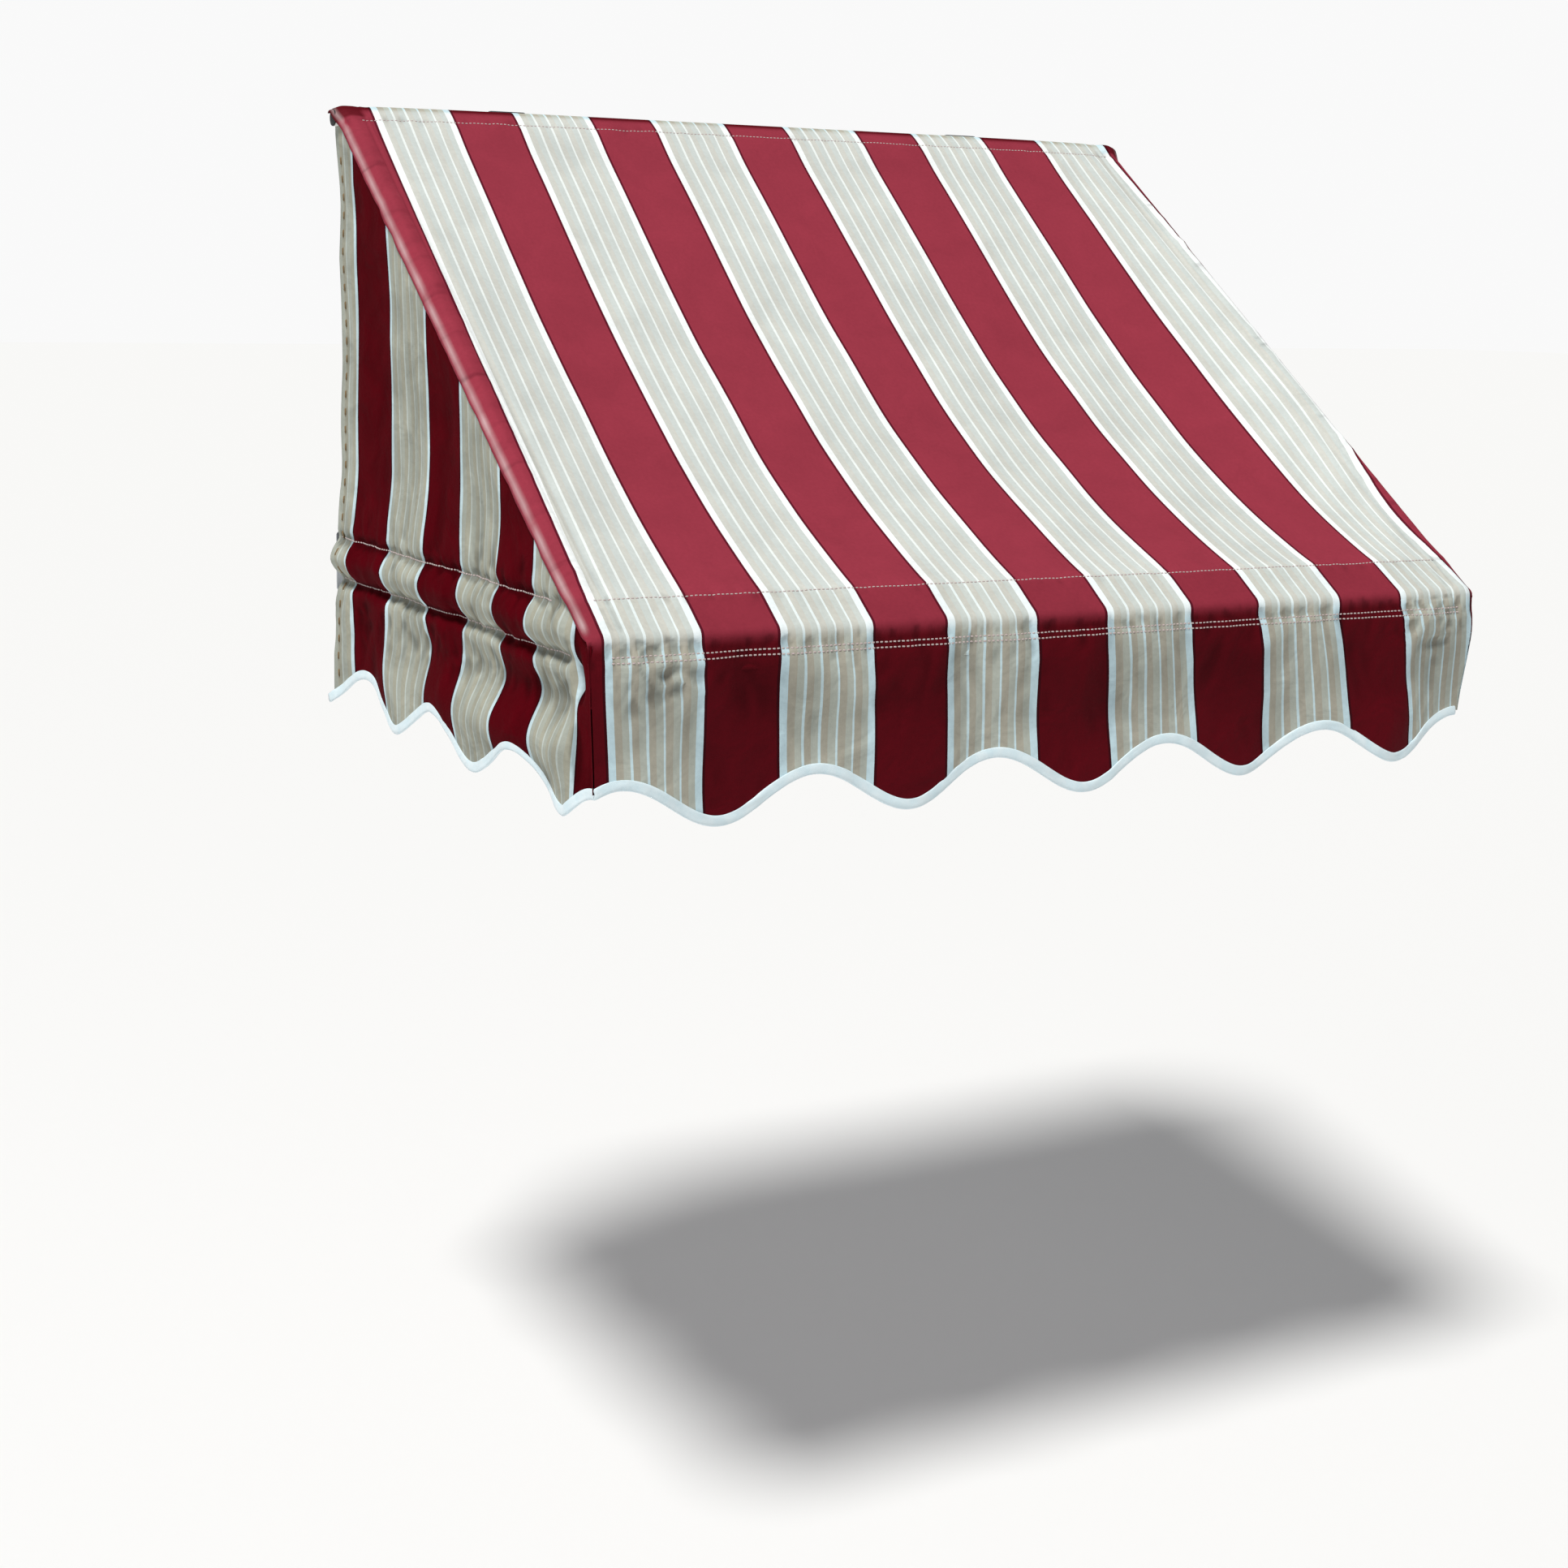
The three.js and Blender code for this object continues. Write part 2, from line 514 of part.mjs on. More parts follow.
/** The strip inside the front tube that closes its sleeve, from roof to valance. */
function frontSleeve() {
  const down = new THREE.Vector2(UP_SLOPE.y, UP_SLOPE.z);
  const out = new THREE.Vector2(Math.cos(ROOF_NORMAL), Math.sin(ROOF_NORMAL));
  const centre = new THREE.Vector2(FRONT.y, FRONT.z);
  const underRoof = (distance) => centre.clone().addScaledVector(down, distance)
    .addScaledVector(out, FRONT_WRAP - FIT_GAP - SLEEVE_CLOTH / 2);
  const faceY = FRONT_FACE_Y + FIT_GAP + SLEEVE_CLOTH / 2;
  const radius = TUBE_RADIUS + 1 + SLEEVE_CLOTH / 2;
  const path = [
    underRoof(44),
    underRoof(30),
    ...arc(centre.x, centre.y, radius, -0.1, -2.2, 8),
    new THREE.Vector2(faceY, centre.y - 24),
    new THREE.Vector2(faceY, centre.y - 40),
  ];
  const length = 2 * (FRAME_X - CORNER_SHOULDER_X - 2 * SCREW_BACK);
  return piece('front_sleeve', acrossX(band(path, SLEEVE_CLOTH), length), 'roof_cloth');
}

/** The strip inside one arm that closes its sleeve on the side panel. */
function armSleeve({ name, sign }) {
  const faceX = FRAME_INSET - CLOTH - FIT_GAP - SLEEVE_CLOTH / 2;
  const radius = TUBE_RADIUS + 1 + SLEEVE_CLOTH / 2;
  const path = [
    new THREE.Vector2(faceX, 36),
    new THREE.Vector2(faceX, 24),
    ...arc(0, 0, radius, Math.PI / 3, (5 * Math.PI) / 3, 12),
    new THREE.Vector2(faceX, -24),
    new THREE.Vector2(faceX, -36),
  ].map((p) => new THREE.Vector2(sign * p.x, p.y));
  const rear = ARM_SPIGOT_END + FIT_GAP;
  const front = PROJECTION - CORNER_SHOULDER - SPIGOT_LENGTH;
  return piece(`arm_sleeve_${name}`,
    towardsFront(band(path, SLEEVE_CLOTH), front - rear, -rear).translate(sign * FRAME_X, 0, -DROP),
    'side_cloth');
}

/** The bias binding along the scallops, one tape round the left side, the front and the right side. */
function edgeBinding() {
  const toFront = new THREE.Vector3(0, -1, 0);
  const [left, right] = SIDES.map((side) => sideEdgePoints(side).map((p) => ({
    base: new THREE.Vector3(side.sign * CORNER_X, p.x, p.y),
    out: X_AXIS.clone().multiplyScalar(side.sign),
  })));
  left.reverse();
  left[left.length - 1].out = new THREE.Vector3(-1, -1, 0);
  right[0].out = new THREE.Vector3(1, -1, 0);
  const front = frontEdgePoints().slice(1, -1)
    .map((p) => ({ base: new THREE.Vector3(p.x, CORNER_Y, p.y), out: toFront }));

  const vertices = [];
  const faces = [];
  for (const { base, out } of [...left, ...front, ...right]) {
    for (const [side, height] of [[-1, 0], [1, 0], [1, BINDING_HEIGHT], [-1, BINDING_HEIGHT]]) {
      vertices.push(...base.clone().addScaledVector(out, (side * BINDING_THICKNESS) / 2)
        .addScaledVector(Z_AXIS, height).toArray());
    }
  }
  const rings = vertices.length / 12;
  for (let ring = 0; ring + 1 < rings; ring += 1) {
    for (let corner = 0; corner < 4; corner += 1) {
      const here = 4 * ring + corner;
      const beside = 4 * ring + ((corner + 1) % 4);
      faces.push(here, here + 4, beside + 4, here, beside + 4, beside);
    }
  }
  const last = 4 * (rings - 1);
  faces.push(0, 1, 2, 0, 2, 3, last, last + 2, last + 1, last, last + 3, last + 2);
  const geometry = new THREE.BufferGeometry();
  geometry.setAttribute('position', new THREE.Float32BufferAttribute(vertices, 3));
  geometry.setIndex(faces);
  geometry.computeVertexNormals();
  return piece('edge_binding', geometry, 'binding');
}

// ---- Assembly ----

const awning = new THREE.Group();
const frame = new THREE.Group();
const cover = new THREE.Group();
frame.add(header(), frontTube());
cover.add(canopyCloth(), frontSleeve(), edgeBinding());
for (const side of SIDES) {
  frame.add(headerBracket(side), headerTee(side), rafter(side), frontCorner(side), sideArm(side));
  cover.add(sidePanel(side), armSleeve(side));
}
awning.add(frame, cover);

export default awning;
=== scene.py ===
"""Looks of a striped window awning: sewn cloth, bias binding, stitching and a dressed tube frame.

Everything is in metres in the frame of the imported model: X along the window, +Y into the wall, +Z up.
"""

import logging
import math
from dataclasses import dataclass, field
from enum import Enum
from functools import partial
from typing import Callable, Sequence, TypeVar

import bpy
from mathutils import Matrix, Vector, noise


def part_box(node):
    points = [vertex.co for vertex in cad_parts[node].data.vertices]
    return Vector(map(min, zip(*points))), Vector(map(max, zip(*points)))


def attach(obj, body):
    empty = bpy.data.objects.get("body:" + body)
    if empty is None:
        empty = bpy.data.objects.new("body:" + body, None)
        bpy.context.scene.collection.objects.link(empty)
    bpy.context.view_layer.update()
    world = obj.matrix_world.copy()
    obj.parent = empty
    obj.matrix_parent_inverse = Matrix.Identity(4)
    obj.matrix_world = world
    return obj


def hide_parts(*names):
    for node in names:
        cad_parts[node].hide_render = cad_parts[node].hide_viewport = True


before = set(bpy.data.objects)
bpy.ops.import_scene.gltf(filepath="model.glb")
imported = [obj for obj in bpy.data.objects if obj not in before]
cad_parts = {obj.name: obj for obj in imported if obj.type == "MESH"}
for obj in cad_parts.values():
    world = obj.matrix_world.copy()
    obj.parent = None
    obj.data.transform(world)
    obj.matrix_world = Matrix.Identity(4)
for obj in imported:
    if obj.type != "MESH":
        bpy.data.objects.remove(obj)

LOG = logging.getLogger("awning")
BODY = "root"
MM = 0.001
TAPE_OVER_CLOTH = 2 * MM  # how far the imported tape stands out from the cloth
Blend = TypeVar("Blend", float, Vector)
Spot = tuple[Vector, tuple[float, float]]  # a point in space and its place on the pattern


# ---- Small tools ----


def linear(code: str) -> tuple[float, float, float, float]:
    """Turns an sRGB hex colour into a linear one.

    Args:
        code: six hex digits, such as "9E3C4A".

    Returns:
        The linear red, green and blue, with alpha 1.
    """
    parts = [int(code[i:i + 2], 16) / 255 for i in (0, 2, 4)]
    red, green, blue = (p / 12.92 if p <= 0.04045 else ((p + 0.055) / 1.055) ** 2.4 for p in parts)
    return red, green, blue, 1.0


def smooth(low: float, high: float, value: float) -> float:
    """Returns 0 below low and 1 above high, with a smooth step between them."""
    share = min(max((value - low) / (high - low), 0.0), 1.0)
    return share * share * (3 - 2 * share)


def bump(value: float, centre: float, width: float) -> float:
    """Returns a soft bump of height 1 at the centre, that has died away at twice the width."""
    return math.exp(-(((value - centre) / width) ** 2))


def lerp(start: Blend, end: Blend, share: float) -> Blend:
    """Returns the value or the point a share of the way from start to end."""
    return start + (end - start) * share


def ripple(x: float, y: float, seed: float) -> float:
    """Returns smooth noise from about -1 to 1 at a place on the cloth."""
    return noise.noise(Vector((x, y, seed)))


@dataclass(frozen=True)
class Wrinkles:
    """Random unevenness of a cloth: rounded, or with sharp folds if it has a crest."""

    height: float
    along: float  # waves in a metre along the cloth
    down: float  # waves in a metre down the cloth
    seed: float
    crest: float | None = None  # share of the height that a sharp fold reaches

    def at(self, x: float, y: float, other: float = 0.0) -> float:
        """Returns its height at a place on the cloth. Another pattern has another number."""
        value = ripple(x * self.along, y * self.down, self.seed + other)
        return self.height * (value if self.crest is None else self.crest - abs(value))


def spaced(start: float, end: float, count: int) -> list[float]:
    """Returns count + 1 even steps from start to end."""
    return [lerp(start, end, i / count) for i in range(count + 1)]


def joined(*runs: Sequence[float]) -> list[float]:
    """Joins runs of steps, each of which starts where the one before it ends.

    Returns:
        One run of all the steps.
    """
    steps = list(runs[0])
    for run in runs[1:]:
        steps.extend(run[1:])
    return steps


def add_to_scene(name: str, data: bpy.types.ID) -> bpy.types.Object:
    """Makes an object of a mesh, a camera or a light and links it to the scene."""
    obj = bpy.data.objects.new(name, data)
    bpy.context.scene.collection.objects.link(obj)
    return obj


def add_mesh(name: str, vertices: Sequence[Vector], faces: Sequence[Sequence[int]],
             uvs: Sequence[tuple[float, float]] = ()) -> bpy.types.Object:
    """Makes a smooth-shaded mesh object.

    Args:
        name: name of the piece.
        vertices: places of its corners.
        faces: each face as indices of its corners.
        uvs: pattern place of each corner, if the finish needs one.

    Returns:
        The new object, linked to the scene.
    """
    mesh = bpy.data.meshes.new(name)
    mesh.from_pydata([tuple(v) for v in vertices], [], faces)
    mesh.shade_smooth()
    if uvs:
        layer = mesh.uv_layers.new(name="pattern")
        for loop in mesh.loops:
            layer.data[loop.index].uv = uvs[loop.vertex_index]
    return add_to_scene(name, mesh)


def paint(obj: bpy.types.Object, name: str, values: Sequence[float] = ()) -> None:
    """Gives each point of a mesh a number that its finish reads, which is 0 where no values are given."""
    layer = obj.data.attributes.new(name, "FLOAT", "POINT")
    if values:
        layer.data.foreach_set("value", values)


def modify(obj: bpy.types.Object, name: str, kind: str, **settings) -> None:
    """Adds a modifier with its settings."""
    made = obj.modifiers.new(name, kind)
    for key, value in settings.items():
        setattr(made, key, value)


def crease_shade(rows: Sequence[Sequence[Vector]], flip: bool, crease_darkening: float, reach: int = 3,
                depth: float = 0.8 * MM, span: float = 11 * MM) -> list[float]:
    """Works out the painted shade of each point of a sheet: its creases are painted darker, as shade.

    Args:
        rows: the points, row by row.
        flip: True if the sheet's outward side is turned over.
        crease_darkening: how much darker a fully shaded crease is painted.
        reach: how many points away a crease's sides are looked for.
        depth: depth of a crease that is fully shaded, where its sides are looked for at the span.
        span: distance from the crease to its sides.

    Returns:
        For each point, what its colour is multiplied by.
    """
    painted_shading = []
    last_row, last_column = len(rows) - 1, len(rows[0]) - 1
    turn = -1 if flip else 1
    for r, row in enumerate(rows):
        above, below = rows[max(r - reach, 0)], rows[min(r + reach, last_row)]
        whole = reach <= r <= last_row - reach
        for c, point in enumerate(row):
            if not whole or not reach <= c <= last_column - reach:
                painted_shading.append(1.0)
                continue
            left, right = row[c - reach], row[c + reach]
            across, down = right - left, below[c] - above[c]
            normal = across.cross(down).normalized() * turn
            hollow = ((left + right + above[c] + below[c]) / 4 - point).dot(normal) / depth
            hollow *= (4 * span / (across.length + down.length)) ** 2
            painted_shading.append(1 - crease_darkening * min(max(hollow, 0.0), 1.0))
    return painted_shading


def grid_faces(levels: int, wide: int, flip: bool = False) -> list[tuple[int, ...]]:
    """Returns the faces between the points of a grid, row by row, turned over if flip is True."""
    starts = (level * wide + column for level in range(levels - 1) for column in range(wide - 1))
    faces = [(here, here + 1, here + wide + 1, here + wide) for here in starts]
    return [face[::-1] for face in faces] if flip else faces


def cloth_object(name: str, levels: int, columns: Sequence[float], spot: Callable[[int, float], Spot],
                 flip: bool = False, crease_darkening: float = 0.3) -> bpy.types.Object:
    """Makes a sheet of cloth from rows of points, with painted shade in its creases.

    Args:
        name: name of the piece.
        levels: how many rows it has.
        columns: the place of each column.
        spot: the point, with its place on the pattern, for a row's number and a column's place.
        flip: True turns the faces over.
        crease_darkening: how much darker its creases are painted.

    Returns:
        The new object.
    """
    rows = [[spot(level, place_across) for place_across in columns] for level in range(levels)]
    obj = add_mesh(name, [point for row in rows for point, _ in row], grid_faces(levels, len(columns), flip),
                   [uv for row in rows for _, uv in row])
    paint(obj, "painted_shading", crease_shade([[point for point, _ in row] for row in rows], flip, crease_darkening))
    return obj


def thicken(obj: bpy.types.Object, thickness: float) -> None:
    """Gives a sheet its thickness, half to each side."""
    modify(obj, "thickness", "SOLIDIFY", thickness=thickness, offset=0, use_even_offset=False)


def place(obj: bpy.types.Object, material: bpy.types.Material, slot: str, *nodes: str) -> None:
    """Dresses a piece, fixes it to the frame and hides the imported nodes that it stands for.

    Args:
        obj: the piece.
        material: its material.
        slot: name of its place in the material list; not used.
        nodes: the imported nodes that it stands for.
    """
    obj.data.materials.clear()
    obj.data.materials.append(material)
    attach(obj, BODY)
    if nodes:
        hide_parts(*nodes)
    LOG.info("%s: %d faces", obj.name, len(obj.data.polygons))


# ---- Sizes ----


class Side(Enum):
    """The two sides of the awning, as seen from the street."""

    LEFT = "left"
    RIGHT = "right"

    @property
    def sign(self) -> int:
        """Direction of the side along X."""
        return -1 if self is Side.LEFT else 1


@dataclass(frozen=True)
class Sizes:
    """The awning's sizes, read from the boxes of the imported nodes, in metres."""

    half_width: float
    header: Vector
    front: Vector
    frame_x: float
    tube: float
    corner_y: float
    rear_y: float
    lowest: float
    wrap: float = 15 * MM  # radius of the cloth's path round a tube

    @classmethod
    def read(cls) -> "Sizes":
        """Reads the sizes from the frame.

        Returns:
            The sizes.
        """
        tube_low, tube_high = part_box("header_tube")
        bar_low, bar_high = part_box("front_tube")
        arm_low, arm_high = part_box("side_arm_right")
        panel_low, panel_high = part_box("side_panel_right")
        tape_low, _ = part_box("edge_binding")
        return cls(
            half_width=(panel_low.x + panel_high.x) / 2,
            header=Vector((0, (tube_low.y + tube_high.y) / 2, (tube_low.z + tube_high.z) / 2)),
            front=Vector((0, (bar_low.y + bar_high.y) / 2, (bar_low.z + bar_high.z) / 2)),
            frame_x=(arm_low.x + arm_high.x) / 2,
            tube=(tube_high.z - tube_low.z) / 2,
            corner_y=tape_low.y + TAPE_OVER_CLOTH,
            rear_y=panel_high.y,
            lowest=tape_low.z,
        )

    @property
    def up_slope(self) -> Vector:
        """The way up the roof, from the front tube to the header."""
        return (self.header - self.front).normalized()

    @property
    def slope_angle(self) -> float:
        """Angle of the roof's outward normal about the tubes, from +Y."""
        up = self.up_slope
        return math.atan2(up.y, -up.z)

    @property
    def slope_length(self) -> float:
        """Length of the straight of the roof between the two tubes."""
        return (self.header - self.front).length


@dataclass(frozen=True)
class Scallops:
    """The wavy lower edge: heights of its lowest line along the front and along a side."""

    sizes: Sizes
    depth: float = 24 * MM
    front_pitch: float = 237 * MM
    front_low_x: float = 15 * MM
    side_pitch: float = 259 * MM
    side_rise: float = 12 * MM
    side_lows: dict[Side, float] = field(default_factory=lambda: {Side.LEFT: 62 * MM, Side.RIGHT: 130 * MM})

    @property
    def mean(self) -> float:
        """Mean height of the front's edge."""
        return self.sizes.lowest + self.depth

    def front(self, x: float) -> float:
        """Returns the edge's height on the front at a place along X."""
        return self.mean - self.depth * math.cos(2 * math.pi * (x - self.front_low_x) / self.front_pitch)

    def side(self, side: Side, back: float) -> float:
        """Returns the edge's height on a side, at a distance back from the front corner.

        Args:
            side: which side.
            back: distance back from the front corner.

        Returns:
            The height.
        """
        low = self.side_lows[side]
        wave = -self.depth * math.cos(2 * math.pi * (back - low) / self.side_pitch)
        corner = self.front(side.sign * self.sizes.half_width)
        return lerp(corner, self.mean + self.side_rise + wave, smooth(0, low, back))


@dataclass(frozen=True)
class Stripes:
    """Lays the printed stripes on the cloth. A repeat starts with its pale band and ends with its red one.

    The cloth is stretched a little more towards one end, so a layout is its start, first repeat and growth.
    """

    sizes: Sizes
    header: tuple[float, float, float] = (-568 * MM, 195.5 * MM, 2.4 * MM)
    front: tuple[float, float, float] = (-595 * MM, 205 * MM, 2.5 * MM)
    lean: tuple[float, float] = (0.02, 0.17)  # sideways run of the stripes down the valance, left and right
    lean_from: float = 20 * MM
    edge_drift: float = 32 * MM  # the cloth has crept inwards low down on its right edge
    side_start: float = 39 * MM
    side_rate: float = 4.98  # repeats in a metre at the start of a side
    side_slowing: float = 1.03  # loss of repeats further back, where the cloth is stretched

    def count(self, layout: tuple[float, float, float], x: float) -> float:
        """Returns the repeats from the start of a layout to a place along X."""
        start, first, growth = layout
        inside = first * first + 4 * growth * (x - start)
        return (math.sqrt(max(inside, 0.0)) - first) / (2 * growth)

    def roof(self, x: float, run: float) -> float:
        """Returns the repeats from the first pale band, at a place on the roof or the valance.

        Args:
            x: place along the window.
            run: distance down the cloth from the top of the front tube, negative up the roof.

        Returns:
            The repeats, as a number with a fraction.
        """
        up = min(max(-run / self.sizes.slope_length, 0.0), 1.0)
        lean = lerp(*self.lean, smooth(-0.25, 0.55, x))
        straight = x - lean * max(run - self.lean_from, 0.0)
        straight += self.edge_drift * bump(up, 0.14, 0.15) * smooth(0.42, 0.6, x)
        return lerp(self.count(self.front, straight), self.count(self.header, straight), up)

    def side(self, back: float) -> float:
        """Returns the repeats along a side panel, at a distance back from the front corner."""
        past = back - self.side_start
        return self.side_rate * past - self.side_slowing * past * abs(past)


# ---- Finishes ----


def feed(node: bpy.types.Node, inputs: dict) -> None:
    """Links inputs of a shader node, by name or number, to outputs, or sets them to values.

    Args:
        node: the node.
        inputs: for each input, the output that feeds it or the value that it holds.
    """
    for key, value in inputs.items():
        if isinstance(value, bpy.types.NodeSocket):
            node.id_data.links.new(value, node.inputs[key])
        else:
            node.inputs[key].default_value = value


def add_node(tree: bpy.types.NodeTree, kind: str, inputs: dict | None = None, **settings) -> bpy.types.Node:
    """Adds a shader node.

    Args:
        tree: the node tree.
        kind: the node's type name, without "ShaderNode".
        inputs: for each input, by name or number, the output that feeds it or the value that it holds.
        settings: the node's own properties.

    Returns:
        The node.
    """
    made = tree.nodes.new(f"ShaderNode{kind}")
    for key, value in settings.items():
        setattr(made, key, value)
    feed(made, inputs or {})
    return made


def new_material(name: str) -> tuple[bpy.types.Material, Callable[..., bpy.types.Node], bpy.types.Node]:
    """Makes an empty material.

    Args:
        name: what the material is and how it was made.

    Returns:
        The material, the function that adds a node to it, and its shader.
    """
    material = bpy.data.materials.new(name)
    material.use_nodes = True
    tree = material.node_tree
    return material, partial(add_node, tree), tree.nodes["Principled BSDF"]


@dataclass(frozen=True)
class StripedCanvas:
    """Printed polyester canvas, coated: soft broad sheen, printed stripes and a fine plain weave.

    Painted light and shade: the roof takes lit copies of the colours, paler and greyer with a painted haze of
    sheen, and the parts that hang take shaded copies, with the red still deep.
    """

    name: str = "printed_polyester_canvas"
    # painted light and shade: each colour has a lit copy for the roof and a darker shaded copy for the parts
    # that hang
    red_lit: str = "953444"
    red_shaded: str = "590713"
    red_edge_lit: str = "5E1526"
    red_edge_shaded: str = "3C0610"
    border_lit: str = "F3F7F7"
    border_shaded: str = "CDE6EE"
    warm_lit: str = "CDCEC7"
    warm_shaded: str = "B2AEA0"
    cool_lit: str = "CBD2CF"
    cool_shaded: str = "B9BEB4"
    line_lit: str = "EAF0EE"
    line_shaded: str = "CFE6EC"
    rim_highlight: str = "EFE4E4"  # painted highlight along the roof's rounded outer edge
    cloudy: float = 0.05  # how much lighter and darker its soft clouds are
    specular: float = 0.06  # the coating is matt, and far duller than bare plastic
    roughness: float = 0.74
    pale_share: float = 0.545
    border_share: float = 0.042
    line_share: float = 0.013
    edge_share: float = 0.016  # the red is printed darker along its two edges
    bands: int = 5
    repeat: float = 217 * MM
    # threads are 0.5 mm apart on the real cloth, and drawn at 1.6 mm so that the weave can be seen
    thread: float = 1.6 * MM
    crumple: float = 58.8 * MM
    speck: float = 4.76 * MM
    wrinkle: tuple[float, float] = (250 * MM, 66.7 * MM)  # of the drawn hems, along and down the cloth

    def stripe_stops(self, in_light: bool) -> list[tuple[float, str]]:
        """Lists the colours across one repeat.

        Args:
            in_light: True for the lit copies of the colours, on the roof; False for the shaded copies, on the
                hanging parts.

        Returns:
            Where each colour starts, as a share of the repeat, and its hex value.
        """
        border = self.border_lit if in_light else self.border_shaded
        warm = self.warm_lit if in_light else self.warm_shaded
        cool = self.cool_lit if in_light else self.cool_shaded
        line = self.line_lit if in_light else self.line_shaded
        red = self.red_lit if in_light else self.red_shaded
        edge = self.red_edge_lit if in_light else self.red_edge_shaded
        inner = self.pale_share - 2 * self.border_share
        band = (inner - (self.bands - 1) * self.line_share) / self.bands
        stops = [(0.0, border)]
        for i in range(self.bands):
            start = self.border_share + i * (band + self.line_share)
            stops += [(start, warm), (start + band / 2, cool)]
            if i + 1 < self.bands:
                stops.append((start + band, line))
        stops += [(self.pale_share - self.border_share, border), (self.pale_share, edge),
                  (self.pale_share + self.edge_share, red), (1 - self.edge_share, edge)]
        return stops

    def stripes(self, made: bpy.types.Node, in_light: bool) -> bpy.types.NodeSocket:
        """Sets a colour ramp to the stripes of one repeat and returns its colour.

        Args:
            made: the colour ramp.
            in_light: True for the lit copies of the colours, on the roof; False for the shaded copies, on the
                hanging parts.

        Returns:
            The colour of the ramp.
        """
        stops = self.stripe_stops(in_light)
        ramp = made.color_ramp
        ramp.interpolation = "CONSTANT"
        ramp.elements[0].color = linear(stops[0][1])
        ramp.elements[1].position = stops[-1][0]
        ramp.elements[1].color = linear(stops[-1][1])
        for position, code in stops[1:-1]:
            ramp.elements.new(position).color = linear(code)
        return made.outputs["Color"]

    def material(self) -> bpy.types.Material:
        """Makes the material.

        Returns:
            The material.
        """
        material, add, shader = new_material(self.name)
        split = add("SeparateXYZ", {0: add("UVMap", uv_map="pattern").outputs["UV"]})
        across = add("Math", {0: split.outputs["X"]}, operation="FRACT").outputs[0]
        # painted light and shade: one attribute picks the lit copies of the colours on the roof and the
        # shaded, deep copies where the cloth hangs
        lit_share, painted_shading, hem = (add("Attribute", attribute_name=n).outputs["Fac"] for n in ("lit_share", "painted_shading", "hem"))
        deep, in_light = (self.stripes(add("ValToRGB", {"Fac": across}), state) for state in (False, True))
        stripes = add("Mix", {"Factor": lit_share, "A": deep, "B": in_light}, data_type="RGBA")

        metres = add("Math", {0: split.outputs["X"], 1: self.repeat}, operation="MULTIPLY")
        cloth = add("CombineXYZ", {0: metres.outputs[0], 1: split.outputs["Y"]}).outputs[0]
        speck = add("TexNoise", {"Vector": cloth, "Scale": 1 / self.speck, "Detail": 3.0})
        crumple = add("TexNoise", {"Vector": cloth, "Scale": 1 / self.crumple, "Detail": 3.0,
                                   "Distortion": 0.5})
        shade = add("MapRange", {"Value": speck.outputs["Fac"], "To Min": 0.90, "To Max": 1.10})
        cloud = add("MapRange", {"Value": crumple.outputs["Fac"], "From Min": 0.3, "From Max": 0.7,
                                 "To Min": 1 - self.cloudy, "To Max": 1 + self.cloudy})
        mottle = add("Math", {0: shade.outputs[0], 1: cloud.outputs[0]}, operation="MULTIPLY")
        # painted shade: below 1 the colour is darkened in the creases and across the valance
        painted_shade = add("Math", {0: painted_shading, 1: 1.0}, operation="MINIMUM")
        toned = add("Math", {0: mottle.outputs[0], 1: painted_shade.outputs[0]}, operation="MULTIPLY")
        colour = add("VectorMath", {0: stripes.outputs["Result"], "Scale": toned.outputs[0]},
                     operation="SCALE")
        # painted highlight: above 1 the colour is mixed towards a pale pink along the roof's outer edge
        rim_highlight = add("Math", {0: painted_shading, 1: 1.0}, operation="SUBTRACT", use_clamp=True)
        final = add("Mix", {"Factor": rim_highlight.outputs[0], "A": colour.outputs[0], "B": linear(self.rim_highlight)},
                    data_type="RGBA")

        long, short = self.wrinkle
        drawn = add("Mapping", {"Vector": cloth, "Scale": (1 / long, 1 / short, 1.0)})
        wrinkle = add("TexNoise", {"Vector": drawn.outputs[0], "Scale": 1.0, "Detail": 2.0,
                                   "Distortion": 0.5})
        limp = add("MapRange", {"Value": lit_share, "To Min": 0.7, "To Max": 0.2})
        warp, weft = (add("TexWave", {"Vector": cloth, "Scale": math.pi / 10 / self.thread},
                          bands_direction=way) for way in "XY")
        weave = add("Math", {0: warp.outputs["Fac"], 1: weft.outputs["Fac"]}, operation="MULTIPLY")
        tug = add("Bump", {"Height": wrinkle.outputs["Fac"], "Strength": hem, "Distance": 34 * MM})
        fold = add("Bump", {"Height": crumple.outputs["Fac"], "Strength": limp.outputs[0], "Distance": 8 * MM,
                            "Normal": tug.outputs[0]})
        grain = add("Bump", {"Height": weave.outputs[0], "Strength": 0.22, "Distance": 0.3 * MM,
                             "Normal": fold.outputs[0]})
        feed(shader, {"Base Color": final.outputs["Result"], "Normal": grain.outputs[0],
                      "Roughness": self.roughness, "Specular IOR Level": self.specular})
        return material


